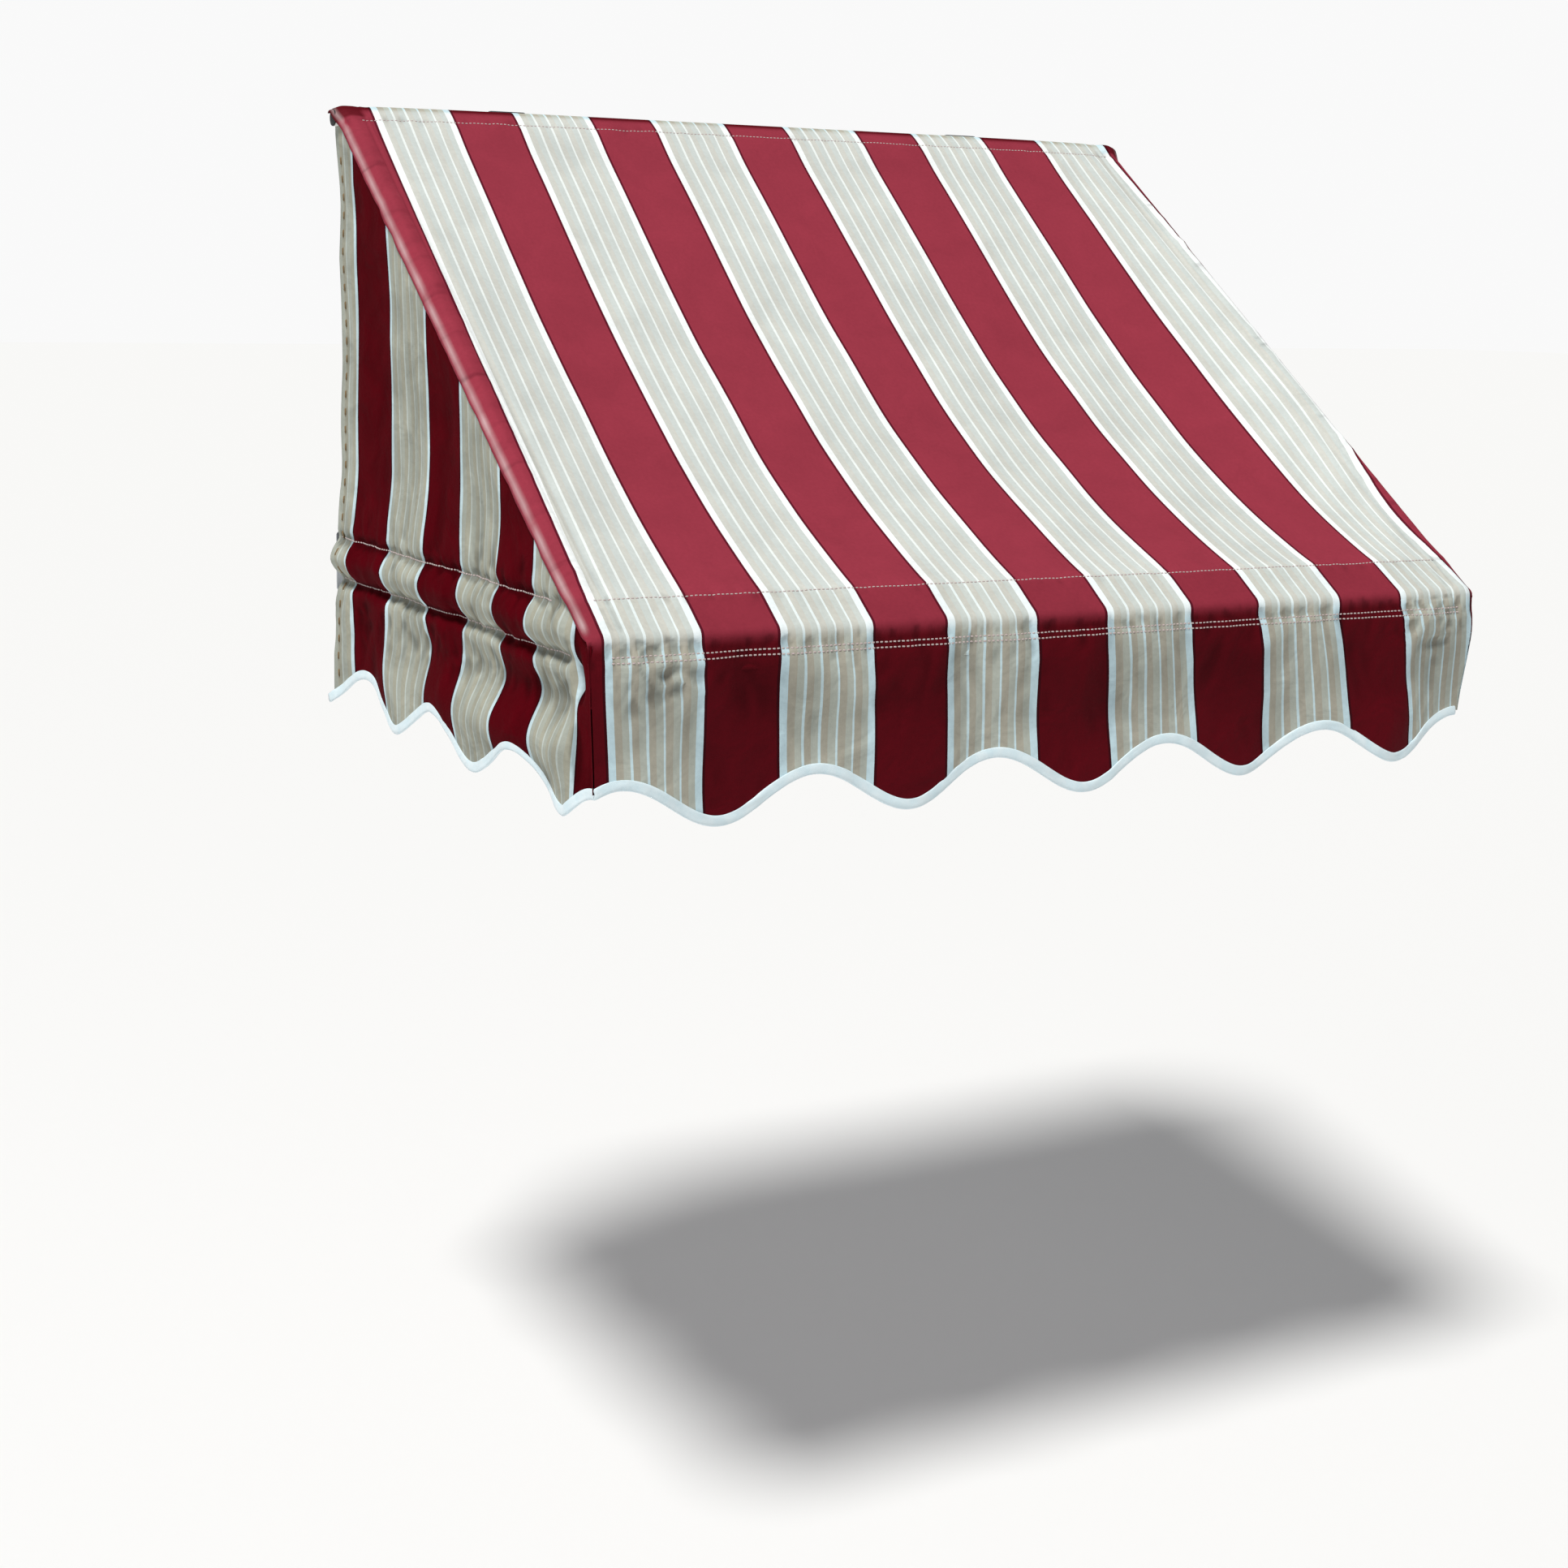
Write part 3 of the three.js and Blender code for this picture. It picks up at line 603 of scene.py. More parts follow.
@dataclass(frozen=True)
class BiasTape:
    """Pale blue cotton bias tape, folded and pressed: satiny, with its threads at 45 degrees."""

    name: str = "folded_cotton_bias_tape"
    colour: str = "CCE8F2"
    toned: str = "F0F9FC"
    # threads are 0.3 mm apart on the real tape, and drawn at 1.2 mm so that they can be seen
    thread: float = 1.2 * MM
    pucker: float = 14.29 * MM
    roughness: float = 0.55
    sheen: float = 0.25

    def material(self) -> bpy.types.Material:
        """Makes the material.

        Returns:
            The material.
        """
        material, add, shader = new_material(self.name)
        tape = add("UVMap", uv_map="pattern").outputs["UV"]
        bias = add("Mapping", {"Vector": tape, "Rotation": (0, 0, math.pi / 4)})
        threads = add("TexWave", {"Vector": bias.outputs[0], "Scale": math.pi / 10 / self.thread})
        puckers = add("TexNoise", {"Vector": tape, "Scale": 1 / self.pucker, "Detail": 3.0}).outputs["Fac"]
        colour = add("Mix", {"Factor": puckers, "A": linear(self.colour), "B": linear(self.toned)},
                     data_type="RGBA")
        soft = add("Bump", {"Height": puckers, "Strength": 0.5, "Distance": 1.5 * MM})
        grain = add("Bump", {"Height": threads.outputs["Fac"], "Strength": 0.3, "Distance": 0.25 * MM,
                             "Normal": soft.outputs[0]})
        feed(shader, {"Base Color": colour.outputs["Result"], "Normal": grain.outputs[0],
                      "Roughness": self.roughness, "Sheen Weight": self.sheen})
        return material


@dataclass(frozen=True)
class Plain:
    """A material of one kind all over: its colour drifts a little and a fine grain breaks its gloss."""

    name: str
    colour: str
    drift: str
    roughness: float
    metallic: float = 0.0
    coat: float = 0.0
    grain: float = 0.8 * MM
    grain_depth: float = 0.05 * MM
    patch: float = 29.4 * MM
    gloss_drift: float = 0.08

    def material(self) -> bpy.types.Material:
        """Makes the material.

        Returns:
            The material.
        """
        material, add, shader = new_material(self.name)
        where = add("TexCoord").outputs["Object"]
        patches = add("TexNoise", {"Vector": where, "Scale": 1 / self.patch, "Detail": 4.0}).outputs["Fac"]
        grain = add("TexNoise", {"Vector": where, "Scale": 1 / self.grain, "Detail": 2.0})
        colour = add("Mix", {"Factor": patches, "A": linear(self.colour), "B": linear(self.drift)},
                     data_type="RGBA")
        gloss = add("MapRange", {"Value": patches, "To Min": self.roughness - self.gloss_drift,
                                 "To Max": self.roughness + self.gloss_drift})
        surface = add("Bump", {"Height": grain.outputs["Fac"], "Strength": 0.6, "Distance": self.grain_depth})
        feed(shader, {"Base Color": colour.outputs["Result"], "Roughness": gloss.outputs[0],
                      "Normal": surface.outputs[0], "Metallic": self.metallic, "Coat Weight": self.coat})
        return material


# white powder coat on steel tube: even, satin, with a faint orange peel
POWDER_COAT = Plain("powder_coated_steel_tube", "E6E7E4", "DCDEDB", 0.36, coat=0.15, grain=2.2 * MM)
# the same coat on a rough casting: duller, with a coarser skin
COATED_CASTING = Plain("powder_coated_zinc_casting", "DADCDA", "CBCECC", 0.48, grain=1.4 * MM,
                       grain_depth=0.12 * MM)
# bright zinc plate on pressed steel: grey-blue metal with cloudy gloss
ZINC_PLATE = Plain("zinc_plated_pressed_steel", "B7BCC1", "9EA4A9", 0.36, metallic=1.0)
# small turned screws and nuts: cleaner and brighter than the brackets
TURNED_STEEL = Plain("zinc_plated_turned_steel", "C4C6C8", "ACAFB1", 0.27, metallic=1.0, grain=0.5 * MM)
# moulded end plugs: matt black with a fine spark-eroded grain
MOULDED_PLUG = Plain("moulded_black_polyethylene", "191A1C", "232427", 0.6)
# polyester sewing thread: pale, slightly pink against the red cloth
PALE_THREAD = Plain("twisted_polyester_thread_pale", "CBBDBA", "B8A6A5", 0.6)
# brown tacking thread of the wall hems: dull and dark against the pale bands
BROWN_THREAD = Plain("twisted_polyester_thread_brown", "8A7350", "6E5A3C", 0.7)
# printed canvas of the roof and the front: matt, with crisp stripes
SUNLIT_CANVAS = StripedCanvas()
# the same canvas on the sides, which hang in the shade: deeper, greyer and cloudier
SHADED_CANVAS = StripedCanvas(
    name="printed_polyester_canvas_shaded_side", warm_shaded="A6A596", cool_shaded="A7ABA1", line_shaded="BAC2BC",
    border_shaded="C8DDE3", red_shaded="52040E", border_share=0.03, cloudy=0.15, specular=0.015)


# ---- Cloth ----


def middle_share(run: float, length: float) -> float:
    """Returns 1 over most of the roof and 0 at its two tubes."""
    return smooth(0.0, 0.06, run + length) * smooth(0.0, 0.06, -run)


@dataclass
class RoofCloth:
    """Roof and front valance, one printed cloth, stretched over the tubes and hanging from the front one."""

    sizes: Sizes
    scallops: Scallops
    stripes: Stripes
    sag: float = 35 * MM
    slack: tuple[float, float] = (0.85, 1.3)  # the cloth is slacker towards its right side
    sag_low: float = 1.45  # above 1, the sag is deepest below the middle of the slope
    sag_full: float = 0.9  # below 1, the sag is deep over more of the slope
    taut: float = 5.5  # the larger, the nearer the sag comes to the rafters
    header_swell: float = 4 * MM  # the cloth stands up a little where it leaves the header
    over_rafter: float = 17 * MM  # radius of the cloth's curve over a rafter
    shoulder: tuple[float, float] = (13 * MM, 2.2 * MM)  # width and drop of the curve inside a rafter
    # grooves along the roof's edge: depth, place beyond the rafter's axis and width
    grooves: tuple[tuple[float, float, float], ...] = (
        (2.6 * MM, -21 * MM, 7 * MM), (1.8 * MM, 9.5 * MM, 2.4 * MM))
    flap: float = 9 * MM  # the edge is turned down over the top of the side cloth
    welt: tuple[float, float] = (1.0 * MM, 2.2 * MM)  # the flap stands out, and bulges over its seam
    ear: float = 8 * MM  # the roof's upper corners stick out past the header
    hang: float = 170 * MM  # height of the valance, over which its waves grow
    wave: float = 5.5 * MM
    swing: float = 14 * MM  # the valance turns back at its right corner
    drawn_in: float = 5 * MM  # its lower corners are drawn in towards the middle
    seam_up: float = 50 * MM  # upper seam of the front sleeve, up the slope from the tube
    seam_down: tuple[float, float] = (13 * MM, 19 * MM)  # its lower seams, down the valance
    seam_dip: float = 0.55 * MM
    header_seam: float = 26 * MM  # seam of the header sleeve, down the slope
    rear_angle: float = math.radians(35)
    tape_overlap: float = 6 * MM
    cloth: float = 0.9 * MM
    free_rows: int = 30  # rows of points below the lower seam
    # unevenness of the roof, and the cross wrinkles that the stretched edges draw
    broad: Wrinkles = Wrinkles(5 * MM, 4.3, 3.6, 1.7)
    shallow: Wrinkles = Wrinkles(2 * MM, 13, 9, 2.9)
    cross: Wrinkles = Wrinkles(4.5 * MM, 7, 46, 4.1)
    fine_cross: Wrinkles = Wrinkles(2.25 * MM, 14, 95, 5.2)
    crinkle: Wrinkles = Wrinkles(2.2 * MM, 1, 34, 61.0)
    # puckers of the seams, and tucks and pinches of the fold over the front tube
    puckers: Wrinkles = Wrinkles(2.4 * MM, 58, 15, 7.3)
    fine_puckers: Wrinkles = Wrinkles(1.2 * MM, 120, 40, 9.1)
    tucks: Wrinkles = Wrinkles(4.2 * MM, 62, 26, 52.0)
    fine_tucks: Wrinkles = Wrinkles(2.6 * MM, 95, 34, 54.0, crest=0.4)
    pinches: Wrinkles = Wrinkles(2.5 * MM, 36, 18, 53.0, crest=0.0)
    # billows and dents of the valance, and its crumpled nests below the ends of the tube
    billow: Wrinkles = Wrinkles(8 * MM, 12, 10, 12.1)
    dents: tuple[Wrinkles, ...] = (
        Wrinkles(8 * MM, 14, 7.7, 15.4, crest=0.5), Wrinkles(2.8 * MM, 37, 20.35, 16.8, crest=0.5))
    nest: Wrinkles = Wrinkles(13 * MM, 40, 44, 17.5, crest=0.4)
    nest_places: tuple[float, float] = (-530 * MM, 555 * MM)
    # unevenness of the painted highlight along the outer edge and of the painted shade across the valance
    uneven_rim_light: Wrinkles = Wrinkles(0.8, 30, 1, 66.0)
    uneven_band_shade: Wrinkles = Wrinkles(1.4, 13, 9, 67.0)

    def __post_init__(self) -> None:
        """Works out the lengths of the wraps round the two tubes, and the rows down to the lower seam."""
        self.slope = self.sizes.slope_length
        self.front_arc = (math.pi - self.sizes.slope_angle) * self.sizes.wrap
        self.header_arc = (self.sizes.slope_angle - self.rear_angle) * self.sizes.wrap
        below_header, above_front = self.header_seam + 14 * MM - self.slope, -self.seam_up - 14 * MM
        self.fixed_rows = joined(
            spaced(-self.slope - self.header_arc, -self.slope, 6),
            spaced(-self.slope, below_header, 8),
            spaced(below_header, above_front, 60),
            spaced(above_front, 0, 18),
            spaced(0, self.front_arc, 8),
            spaced(self.front_arc, self.front_arc + 26 * MM, 10),
        )

    def base(self, run: float) -> tuple[float, float, float, float]:
        """Finds the unwrinkled cloth at a distance down it.

        Args:
            run: distance from the top of the front tube, negative up the roof.

        Returns:
            The place (y, z) and the outward normal (y, z).
        """
        sizes = self.sizes
        if run >= self.front_arc:
            return sizes.front.y - sizes.wrap, sizes.front.z - (run - self.front_arc), -1.0, 0.0
        angle, centre, up = sizes.slope_angle, sizes.front, 0.0
        if run > 0:
            angle += run / sizes.wrap
        elif run < -self.slope:
            angle += (run + self.slope) / sizes.wrap
            centre = sizes.header
        else:
            up = -run
        normal_y, normal_z = math.cos(angle), math.sin(angle)
        along = sizes.up_slope * up
        return (centre.y + along.y + normal_y * sizes.wrap, centre.z + along.z + normal_z * sizes.wrap,
                normal_y, normal_z)

    def edge_drop(self, beyond: float) -> float:
        """Returns how far the cloth has curved down, at a distance outside the rafter's axis."""
        return self.over_rafter - math.sqrt(self.over_rafter ** 2 - min(beyond, self.over_rafter) ** 2)

    def roof_offset(self, x: float, run: float) -> float:
        """Returns how far the roof stands out from the plane over the tubes: it sags between the rafters.

        Args:
            x: place along the window.
            run: distance down the cloth from the top of the front tube.

        Returns:
            The distance, which is negative where the cloth sags.
        """
        sizes = self.sizes
        down = min(max((run + self.slope) / (self.slope - self.seam_up * 1.05), 0.0), 1.0)
        hang = math.sin(math.pi * down ** self.sag_low) ** self.sag_full if 0 < down < 1 else 0.0
        middle = smooth(-0.04, 0.06, down) * smooth(1.04, 0.94, down)
        across = 1 - min(abs(x) / (sizes.frame_x - sizes.tube * 0.9), 1.0) ** self.taut
        sag = self.sag * lerp(*self.slack, smooth(-0.5, 0.45, x))
        offset = (self.broad.at(x, run) + self.shallow.at(x, run) - sag) * hang * across
        offset += self.header_swell * bump(run, self.header_seam - self.slope, 40 * MM) * across
        beyond = abs(x) - sizes.frame_x
        shoulder, drop = self.shoulder
        if beyond > 0:
            offset -= self.edge_drop(beyond) * lerp(0.35, 1.0, middle)
        elif beyond > -shoulder:
            offset -= drop * (beyond / shoulder) ** 2 * middle
        for depth, groove, width in self.grooves:
            offset -= depth * bump(beyond, groove, width) * middle
        cross = self.cross.at(x, run) + self.fine_cross.at(x, run) - self.cross.height * 0.1
        return offset + max(cross, 0.0) * bump(beyond, 0, 13 * MM) * middle

    def seam_offset(self, x: float, run: float) -> float:
        """Returns the dip and the puckers of the cloth along its seams.

        Args:
            x: place along the window.
            run: distance down the cloth from the top of the front tube.

        Returns:
            The distance outwards.
        """
        offset = 0.0
        seams = [-self.seam_up, *(self.front_arc + d for d in self.seam_down), self.header_seam - self.slope]
        for place, seam in enumerate(seams):
            if abs(run - seam) > 45 * MM:
                continue
            offset -= self.seam_dip * bump(run, seam, 3.5 * MM)
            lively = 0.45 + 0.55 * max(ripple(x * 9, place, 8.8), 0.0)
            puckers = self.puckers.at(x, run, place) + self.fine_puckers.at(x, run, place)
            offset += lively * puckers * bump(run, seam, 14 * MM)
        return offset

    def fold_offset(self, x: float, run: float) -> float:
        """Returns the small tucks of the cloth where it turns over the front tube.

        Args:
            x: place along the window.
            run: distance down the cloth from the top of the front tube.

        Returns:
            The distance outwards.
        """
        if not -30 * MM < run < self.front_arc + 34 * MM:
            return 0.0
        busy = smooth(-0.25, 0.45, ripple(x * 6.5, 0.0, 51.0))
        tucks = self.tucks.at(x, run) * busy + self.fine_tucks.at(x, run) + self.pinches.at(x, run)
        return tucks * bump(run, self.front_arc + 4 * MM, 13 * MM)

    def valance_offset(self, x: float, run: float) -> float:
        """Returns how far the valance stands out from the vertical: it hangs in shallow waves.

        Args:
            x: place along the window.
            run: distance down the cloth from the top of the front tube.

        Returns:
            The distance towards the street.
        """
        drop = run - self.front_arc
        if drop <= 0:
            return 0.0
        phase = 2 * math.pi * (x - self.scallops.front_low_x) / self.scallops.front_pitch
        wave = 0.6 * math.cos(phase + 0.9) + 0.4 * math.sin(phase * 0.62 + 1.1)
        offset = self.wave * wave * min(drop / self.hang, 1.2) ** 1.2
        offset += self.billow.at(x, drop) * smooth(0.0, 0.05, drop)
        dents = sum(dent.at(x, drop) for dent in self.dents)
        offset += dents * smooth(0.006, 0.02, drop) * lerp(1.0, 0.45, smooth(0.03, 0.12, drop))
        for corner in self.nest_places:
            near = bump(x, corner, 55 * MM) * bump(drop, 30 * MM, 30 * MM)
            offset += self.nest.at(x, drop, corner) * near if near > 0.02 else 0.0
        return offset * smooth(0, 0.06, self.sizes.half_width - abs(x))

    def at(self, x: float, run: float) -> Vector:
        """Finds a place on the cloth.

        Args:
            x: place along the window on the flat cloth.
            run: distance down the cloth from the top of the front tube.

        Returns:
            The place in space.
        """
        sizes = self.sizes
        turned = max(abs(x) - sizes.half_width, 0.0)
        sign = math.copysign(1.0, x)
        x = sign * min(abs(x), sizes.half_width)
        y, z, normal_y, normal_z = self.base(run)
        offset = self.seam_offset(x, run) + self.fold_offset(x, run) + self.valance_offset(x, run)
        offset += self.roof_offset(x, min(run, self.front_arc)) * smooth(0.05, 0.0, run - self.front_arc)
        low = smooth(0.02, self.hang, max(run - self.front_arc, 0.0))
        pull = self.drawn_in * low * (x / sizes.half_width) ** 9
        if x > 0:
            y += self.swing * low * smooth(sizes.half_width - 0.11, sizes.half_width, x)
        ear = self.ear * smooth(0.03, -0.004, run + self.slope) * smooth(0.57, sizes.half_width, abs(x))
        point = Vector((x - pull + sign * ear, y + normal_y * offset, z + normal_z * offset))
        if turned > 0:
            share = min(turned / self.flap, 1.0)
            welt = self.welt[0] + self.welt[1] * math.sin(math.pi * share) ** 0.7
            welt += self.crinkle.at(sign, run) * middle_share(run, self.slope) * share
            tuck = turned * smooth(self.front_arc, -12 * MM, run)
            tuck *= smooth(-self.header_arc, 0.01, run + self.slope)
            point += Vector((sign * welt, -normal_y * tuck, -normal_z * tuck))
        return point

    def end_run(self, x: float) -> float:
        """Returns the run at which the cloth ends, inside the tape."""
        x = min(max(x, -self.sizes.half_width), self.sizes.half_width)
        return self.front_arc + self.sizes.front.z - self.scallops.front(x) - self.tape_overlap

    def columns(self) -> list[float]:
        """Returns the places of the columns along X, close together over the rafters.

        Returns:
            The places, from the left edge to the right one.
        """
        half, inner = self.sizes.half_width, self.sizes.frame_x - 40 * MM
        hem = half + self.flap
        return joined(spaced(-hem, -half, 5), spaced(-half, -inner, 24), spaced(-inner, inner, 290),
                      spaced(inner, half, 24), spaced(half, hem, 5))

    def run_of(self, level: int, x: float) -> float:
        """Returns the run of a row of points: level down to the lower seam, then more and more scalloped.

        Args:
            level: number of the row, from the header down.
            x: place along the window.

        Returns:
            The run.
        """
        fixed = self.fixed_rows
        if level < len(fixed):
            return fixed[level]
        return lerp(fixed[-1], self.end_run(x), (level - len(fixed) + 1) / self.free_rows)

    def spot(self, level: int, x: float) -> Spot:
        """Returns the point of a row at a place along X, and its place on the pattern."""
        run = self.run_of(level, x)
        return self.at(x, run), (self.stripes.roof(x, run), run)

    def light_share(self, x: float, run: float) -> float:
        """Returns the share of the lit colours, a painted light and shade: 1 on the roof, less on its sleeves
        and 0 where it hangs, with painted shade along the header's top edge and at its ends.

        Args:
            x: place along the window.
            run: distance down the cloth from the top of the front tube.

        Returns:
            The share of the lit colours.
        """
        # painted shade on the front sleeve, past the fold, along the header's top edge and at its ends
        sleeve = lerp(1.0, 0.78, smooth(-3 * MM, 5 * MM, run + self.seam_up))
        fold = smooth(self.front_arc + 9 * MM, 4 * MM, run)
        header = smooth(1 * MM, 7 * MM, run + self.slope)
        end = 1 - 0.85 * smooth(0.576, 0.584, abs(x))
        return sleeve * fold * header * lerp(end, 1.0, smooth(15 * MM, 21 * MM, run + self.slope))

    def drawn(self, x: float, run: float) -> float:
        """Returns how much the cloth is drawn into fine cross wrinkles: 1 over the rafters."""
        beyond = abs(x) - self.sizes.frame_x
        return smooth(-14 * MM, -5 * MM, beyond) * smooth(5 * MM, -25 * MM, run)

    def toned(self, painted_shade: float, x: float, run: float) -> float:
        """Returns the painted shading: the painted shade of the creases, with a painted highlight along the
        outer edge, above 1, and a band of painted shade across the valance.

        Args:
            painted_shade: the painted shade of the creases alone.
            x: place along the window.
            run: distance down the cloth from the top of the front tube.

        Returns:
            The painted shading, which the finish reads.
        """
        # painted highlight along the roof's outer edge
        rim_light = 0.30 * bump(abs(x), self.sizes.half_width, 2.2 * MM) * smooth(0.0, -0.02, run)
        drop = run - self.front_arc
        # painted shade across the valance, darkest some 70 mm below the fold
        band_shade = 0.17 * bump(drop, 70 * MM, 52 * MM) * smooth(0.0, 0.02, drop)
        return (painted_shade + rim_light * (1 + self.uneven_rim_light.at(run, 0.0))) * (1 - band_shade * (1 + self.uneven_band_shade.at(x, drop)))

    def make(self, material: bpy.types.Material) -> None:
        """Makes the cloth of the printed canvas given.

        Args:
            material: the printed canvas.
        """
        columns = self.columns()
        levels = len(self.fixed_rows) + self.free_rows
        obj = cloth_object("canopy_cloth_sewn", levels, columns, self.spot, flip=True, crease_darkening=0.32)
        spots = [(x, self.run_of(level, x)) for level in range(levels) for x in columns]
        # painted light and shade: the roof takes the lit colours, its sleeves and the valance the shaded ones
        paint(obj, "lit_share", [self.light_share(*spot) for spot in spots])
        paint(obj, "hem", [self.drawn(*spot) for spot in spots])
        # painted highlight along the outer edge and painted shade across the valance, on top of the painted
        # shade of the creases
        for point, spot in zip(obj.data.attributes["painted_shading"].data, spots):
            point.value = self.toned(point.value, *spot)
        thicken(obj, self.cloth)
        place(obj, material, "roof_cloth", "canopy_cloth")
        length = self.slope + self.header_arc + self.end_run(self.scallops.front_low_x)


@dataclass
class SidePanel:
    """One side of the awning: a cloth from the roof's edge down to its own scallops, sleeved on the arm."""

    side: Side
    sizes: Sizes
    scallops: Scallops
    stripes: Stripes
    roof: RoofCloth
    seam_above: float = 36 * MM  # from the arm's axis up to the upper seam of its sleeve
    seam_below: float = 18 * MM
    hem: float = 16 * MM
    hem_step: float = 0.7 * MM  # the hem is two cloths thick
    wall_gap: float = 18 * MM  # the cloth's free edge curls away from the wall
    swing: float = 13 * MM  # below its sleeve the cloth swings in and out again, most of all at the front
    wave: float = 5 * MM  # of the cloth below the sleeve, and of its free edge
    belly: float = 8 * MM  # the cloth above the sleeve is sucked in
    tuck_in: float = 30 * MM  # behind the front corner, under the end of the front tube
    cloth: float = 0.9 * MM
    levels: int = 190
    puckers: Wrinkles = Wrinkles(4.4 * MM, 44, 20, 21.0)
    fine_puckers: Wrinkles = Wrinkles(1.76 * MM, 100, 50, 22.0)
    uneven_swing: Wrinkles = Wrinkles(0.5, 9, 1, 24.0)
    uneven_belly: Wrinkles = Wrinkles(0.6, 7, 3, 25.0)
    billow: Wrinkles = Wrinkles(6 * MM, 11, 6, 27.0)
    creases: Wrinkles = Wrinkles(7 * MM, 17, 10, 28.0, crest=0.5)
    small_creases: Wrinkles = Wrinkles(3 * MM, 42, 30, 29.0, crest=0.4)

    @property
    def depth(self) -> float:
        """Distance from the front corner to the wall edge."""
        return self.sizes.rear_y - self.wall_gap - self.sizes.corner_y

    def top(self, back: float) -> float:
        """Returns the height of the seam with the roof, at a distance back from the front corner.

        Args:
            back: distance back from the front corner.

        Returns:
            The height.
        """
        sizes = self.sizes
        y = sizes.corner_y + back
        radius = sizes.wrap - self.roof.edge_drop(sizes.half_width - sizes.frame_x)
        normal = Vector((0, math.cos(sizes.slope_angle), math.sin(sizes.slope_angle)))
        front_y = sizes.front.y + normal.y * radius
        header_y = sizes.header.y + normal.y * radius
        if y < front_y:
            reach = min((sizes.front.y - y) / radius, 1.0)
            return sizes.front.z + radius * math.sqrt(1 - reach ** 2)
        if y < header_y:
            return sizes.front.z + normal.z * radius + (y - front_y) * sizes.up_slope.z / sizes.up_slope.y
        reach = min(max(y - sizes.header.y, -radius) / radius, 0.8)
        return sizes.header.z + radius * math.sqrt(1 - reach ** 2)

    def out(self, back: float, z: float) -> float:
        """Returns how far the cloth stands out from the flat side.

        Args:
            back: distance back from the front corner.
            z: height.

        Returns:
            The distance outwards.
        """
        rise = z - self.sizes.front.z
        other = 3.0 * self.side.sign
        sleeve = smooth(0.03, 0.08, back)
        # the sleeve's bulge and the dips of its two seams: height, place above the arm's axis and width
        ridges = ((8.0 * MM, 9 * MM, 18 * MM), (-4 * MM, self.seam_above, 8 * MM),
                  (-8.5 * MM, -self.seam_below - 2 * MM, 9 * MM))
        offset = sum(height * bump(rise, level, width) for height, level, width in ridges)
        seams = bump(rise, self.seam_above, 17 * MM) + bump(rise, -self.seam_below, 17 * MM)
        offset += (self.puckers.at(back, rise, other) + self.fine_puckers.at(back, rise, other)) * seams
        below = smooth(-self.seam_below, -0.075, rise) * smooth(-0.22, -0.10, rise)
        offset += self.wave * (0.2 + 0.8 * math.sin(2 * math.pi * back / 0.19 + 0.6)) * below
        swing = self.swing * smooth(0.82, 0.05, back) * (1 + self.uneven_swing.at(back, 0.0, other))
        offset += swing * (0.9 * bump(rise, -126 * MM, 30 * MM) - bump(rise, -68 * MM, 27 * MM))
        offset += self.small_creases.at(back, z, other) * smooth(0.12, 0.02, abs(rise + 0.01))
        offset *= sleeve
        past = back - self.scallops.side_lows[self.side]
        edge_wave = math.cos(2 * math.pi * past / self.scallops.side_pitch + 0.7)
        offset += self.wave * edge_wave * smooth(-0.08, -0.19, rise)
        room = smooth(0.0, 0.12, self.top(back) - z)
        belly = self.belly * smooth(0.04, 0.14, rise) * (0.7 + self.uneven_belly.at(back, z, other))
        offset += (self.billow.at(back, z, other) - belly) * room
        return offset + self.creases.at(back, z, other) * (0.35 + 0.6 * smooth(0.16, 0.0, abs(rise + 0.02)))

    def hollow(self, back: float, z: float) -> float:
        """Returns how far the cloth is tucked in behind the front corner, under the end of the front tube."""
        rise = z - self.sizes.front.z
        return self.tuck_in * bump(back, 32 * MM, 11 * MM) * bump(rise, -40 * MM, 19 * MM)

    def at(self, back: float, z: float) -> Vector:
        """Finds a place on the cloth, at a distance back from the corner and a height on the flat cloth.

        Args:
            back: distance back from the front corner.
            z: height.

        Returns:
            The place in space.
        """
        sizes, sign = self.sizes, self.side.sign
        low = smooth(-0.005, 0.02, sizes.front.z - z)
        run = self.roof.front_arc + max(sizes.front.z - z, 0.0)
        corner = self.roof.at(sign * sizes.half_width, run)
        loose = smooth(0, 0.05, back) * smooth(0, 0.03, self.top(back) - z)
        near = smooth(0.06, 0, back)
        x = sizes.half_width + (self.out(back, z) - self.hollow(back, z)) * loose
        x += (abs(corner.x) - sizes.half_width) * near * low
        y = sizes.corner_y + back + (corner.y - sizes.corner_y) * near * low
        if back > self.depth - self.hem:
            x += self.hem_step
        return Vector((sign * x, y, z))

    def bottom(self, back: float) -> float:
        """Returns the height at which the cloth ends, inside the tape."""
        return self.scallops.side(self.side, back) + self.roof.tape_overlap

    def spot(self, level: int, back: float) -> Spot:
        """Returns the point of a row at a distance back from the corner, and its place on the pattern."""
        z = lerp(self.bottom(back), self.top(back), level / self.levels)
        return self.at(back, z), (self.stripes.side(back), z)

    def make(self, material: bpy.types.Material) -> None:
        """Makes the cloth of the printed canvas given.

        Args:
            material: the printed canvas.
        """
        deep = self.depth
        columns = joined(spaced(0, 0.08, 26), spaced(0.08, deep - self.hem, 150),
                         spaced(deep - self.hem, deep, 8))
        obj = cloth_object(f"side_cloth_{self.side.value}", self.levels + 1, columns, self.spot,
                           flip=self.side is Side.LEFT, crease_darkening=0.42)
        # painted shade: the side takes only the shaded colours
        paint(obj, "lit_share")
        thicken(obj, self.cloth)
        place(obj, material, "side_cloth", f"side_panel_{self.side.value}")
        tall = self.top(deep) - self.scallops.mean
        short = self.top(0.0) - self.scallops.mean


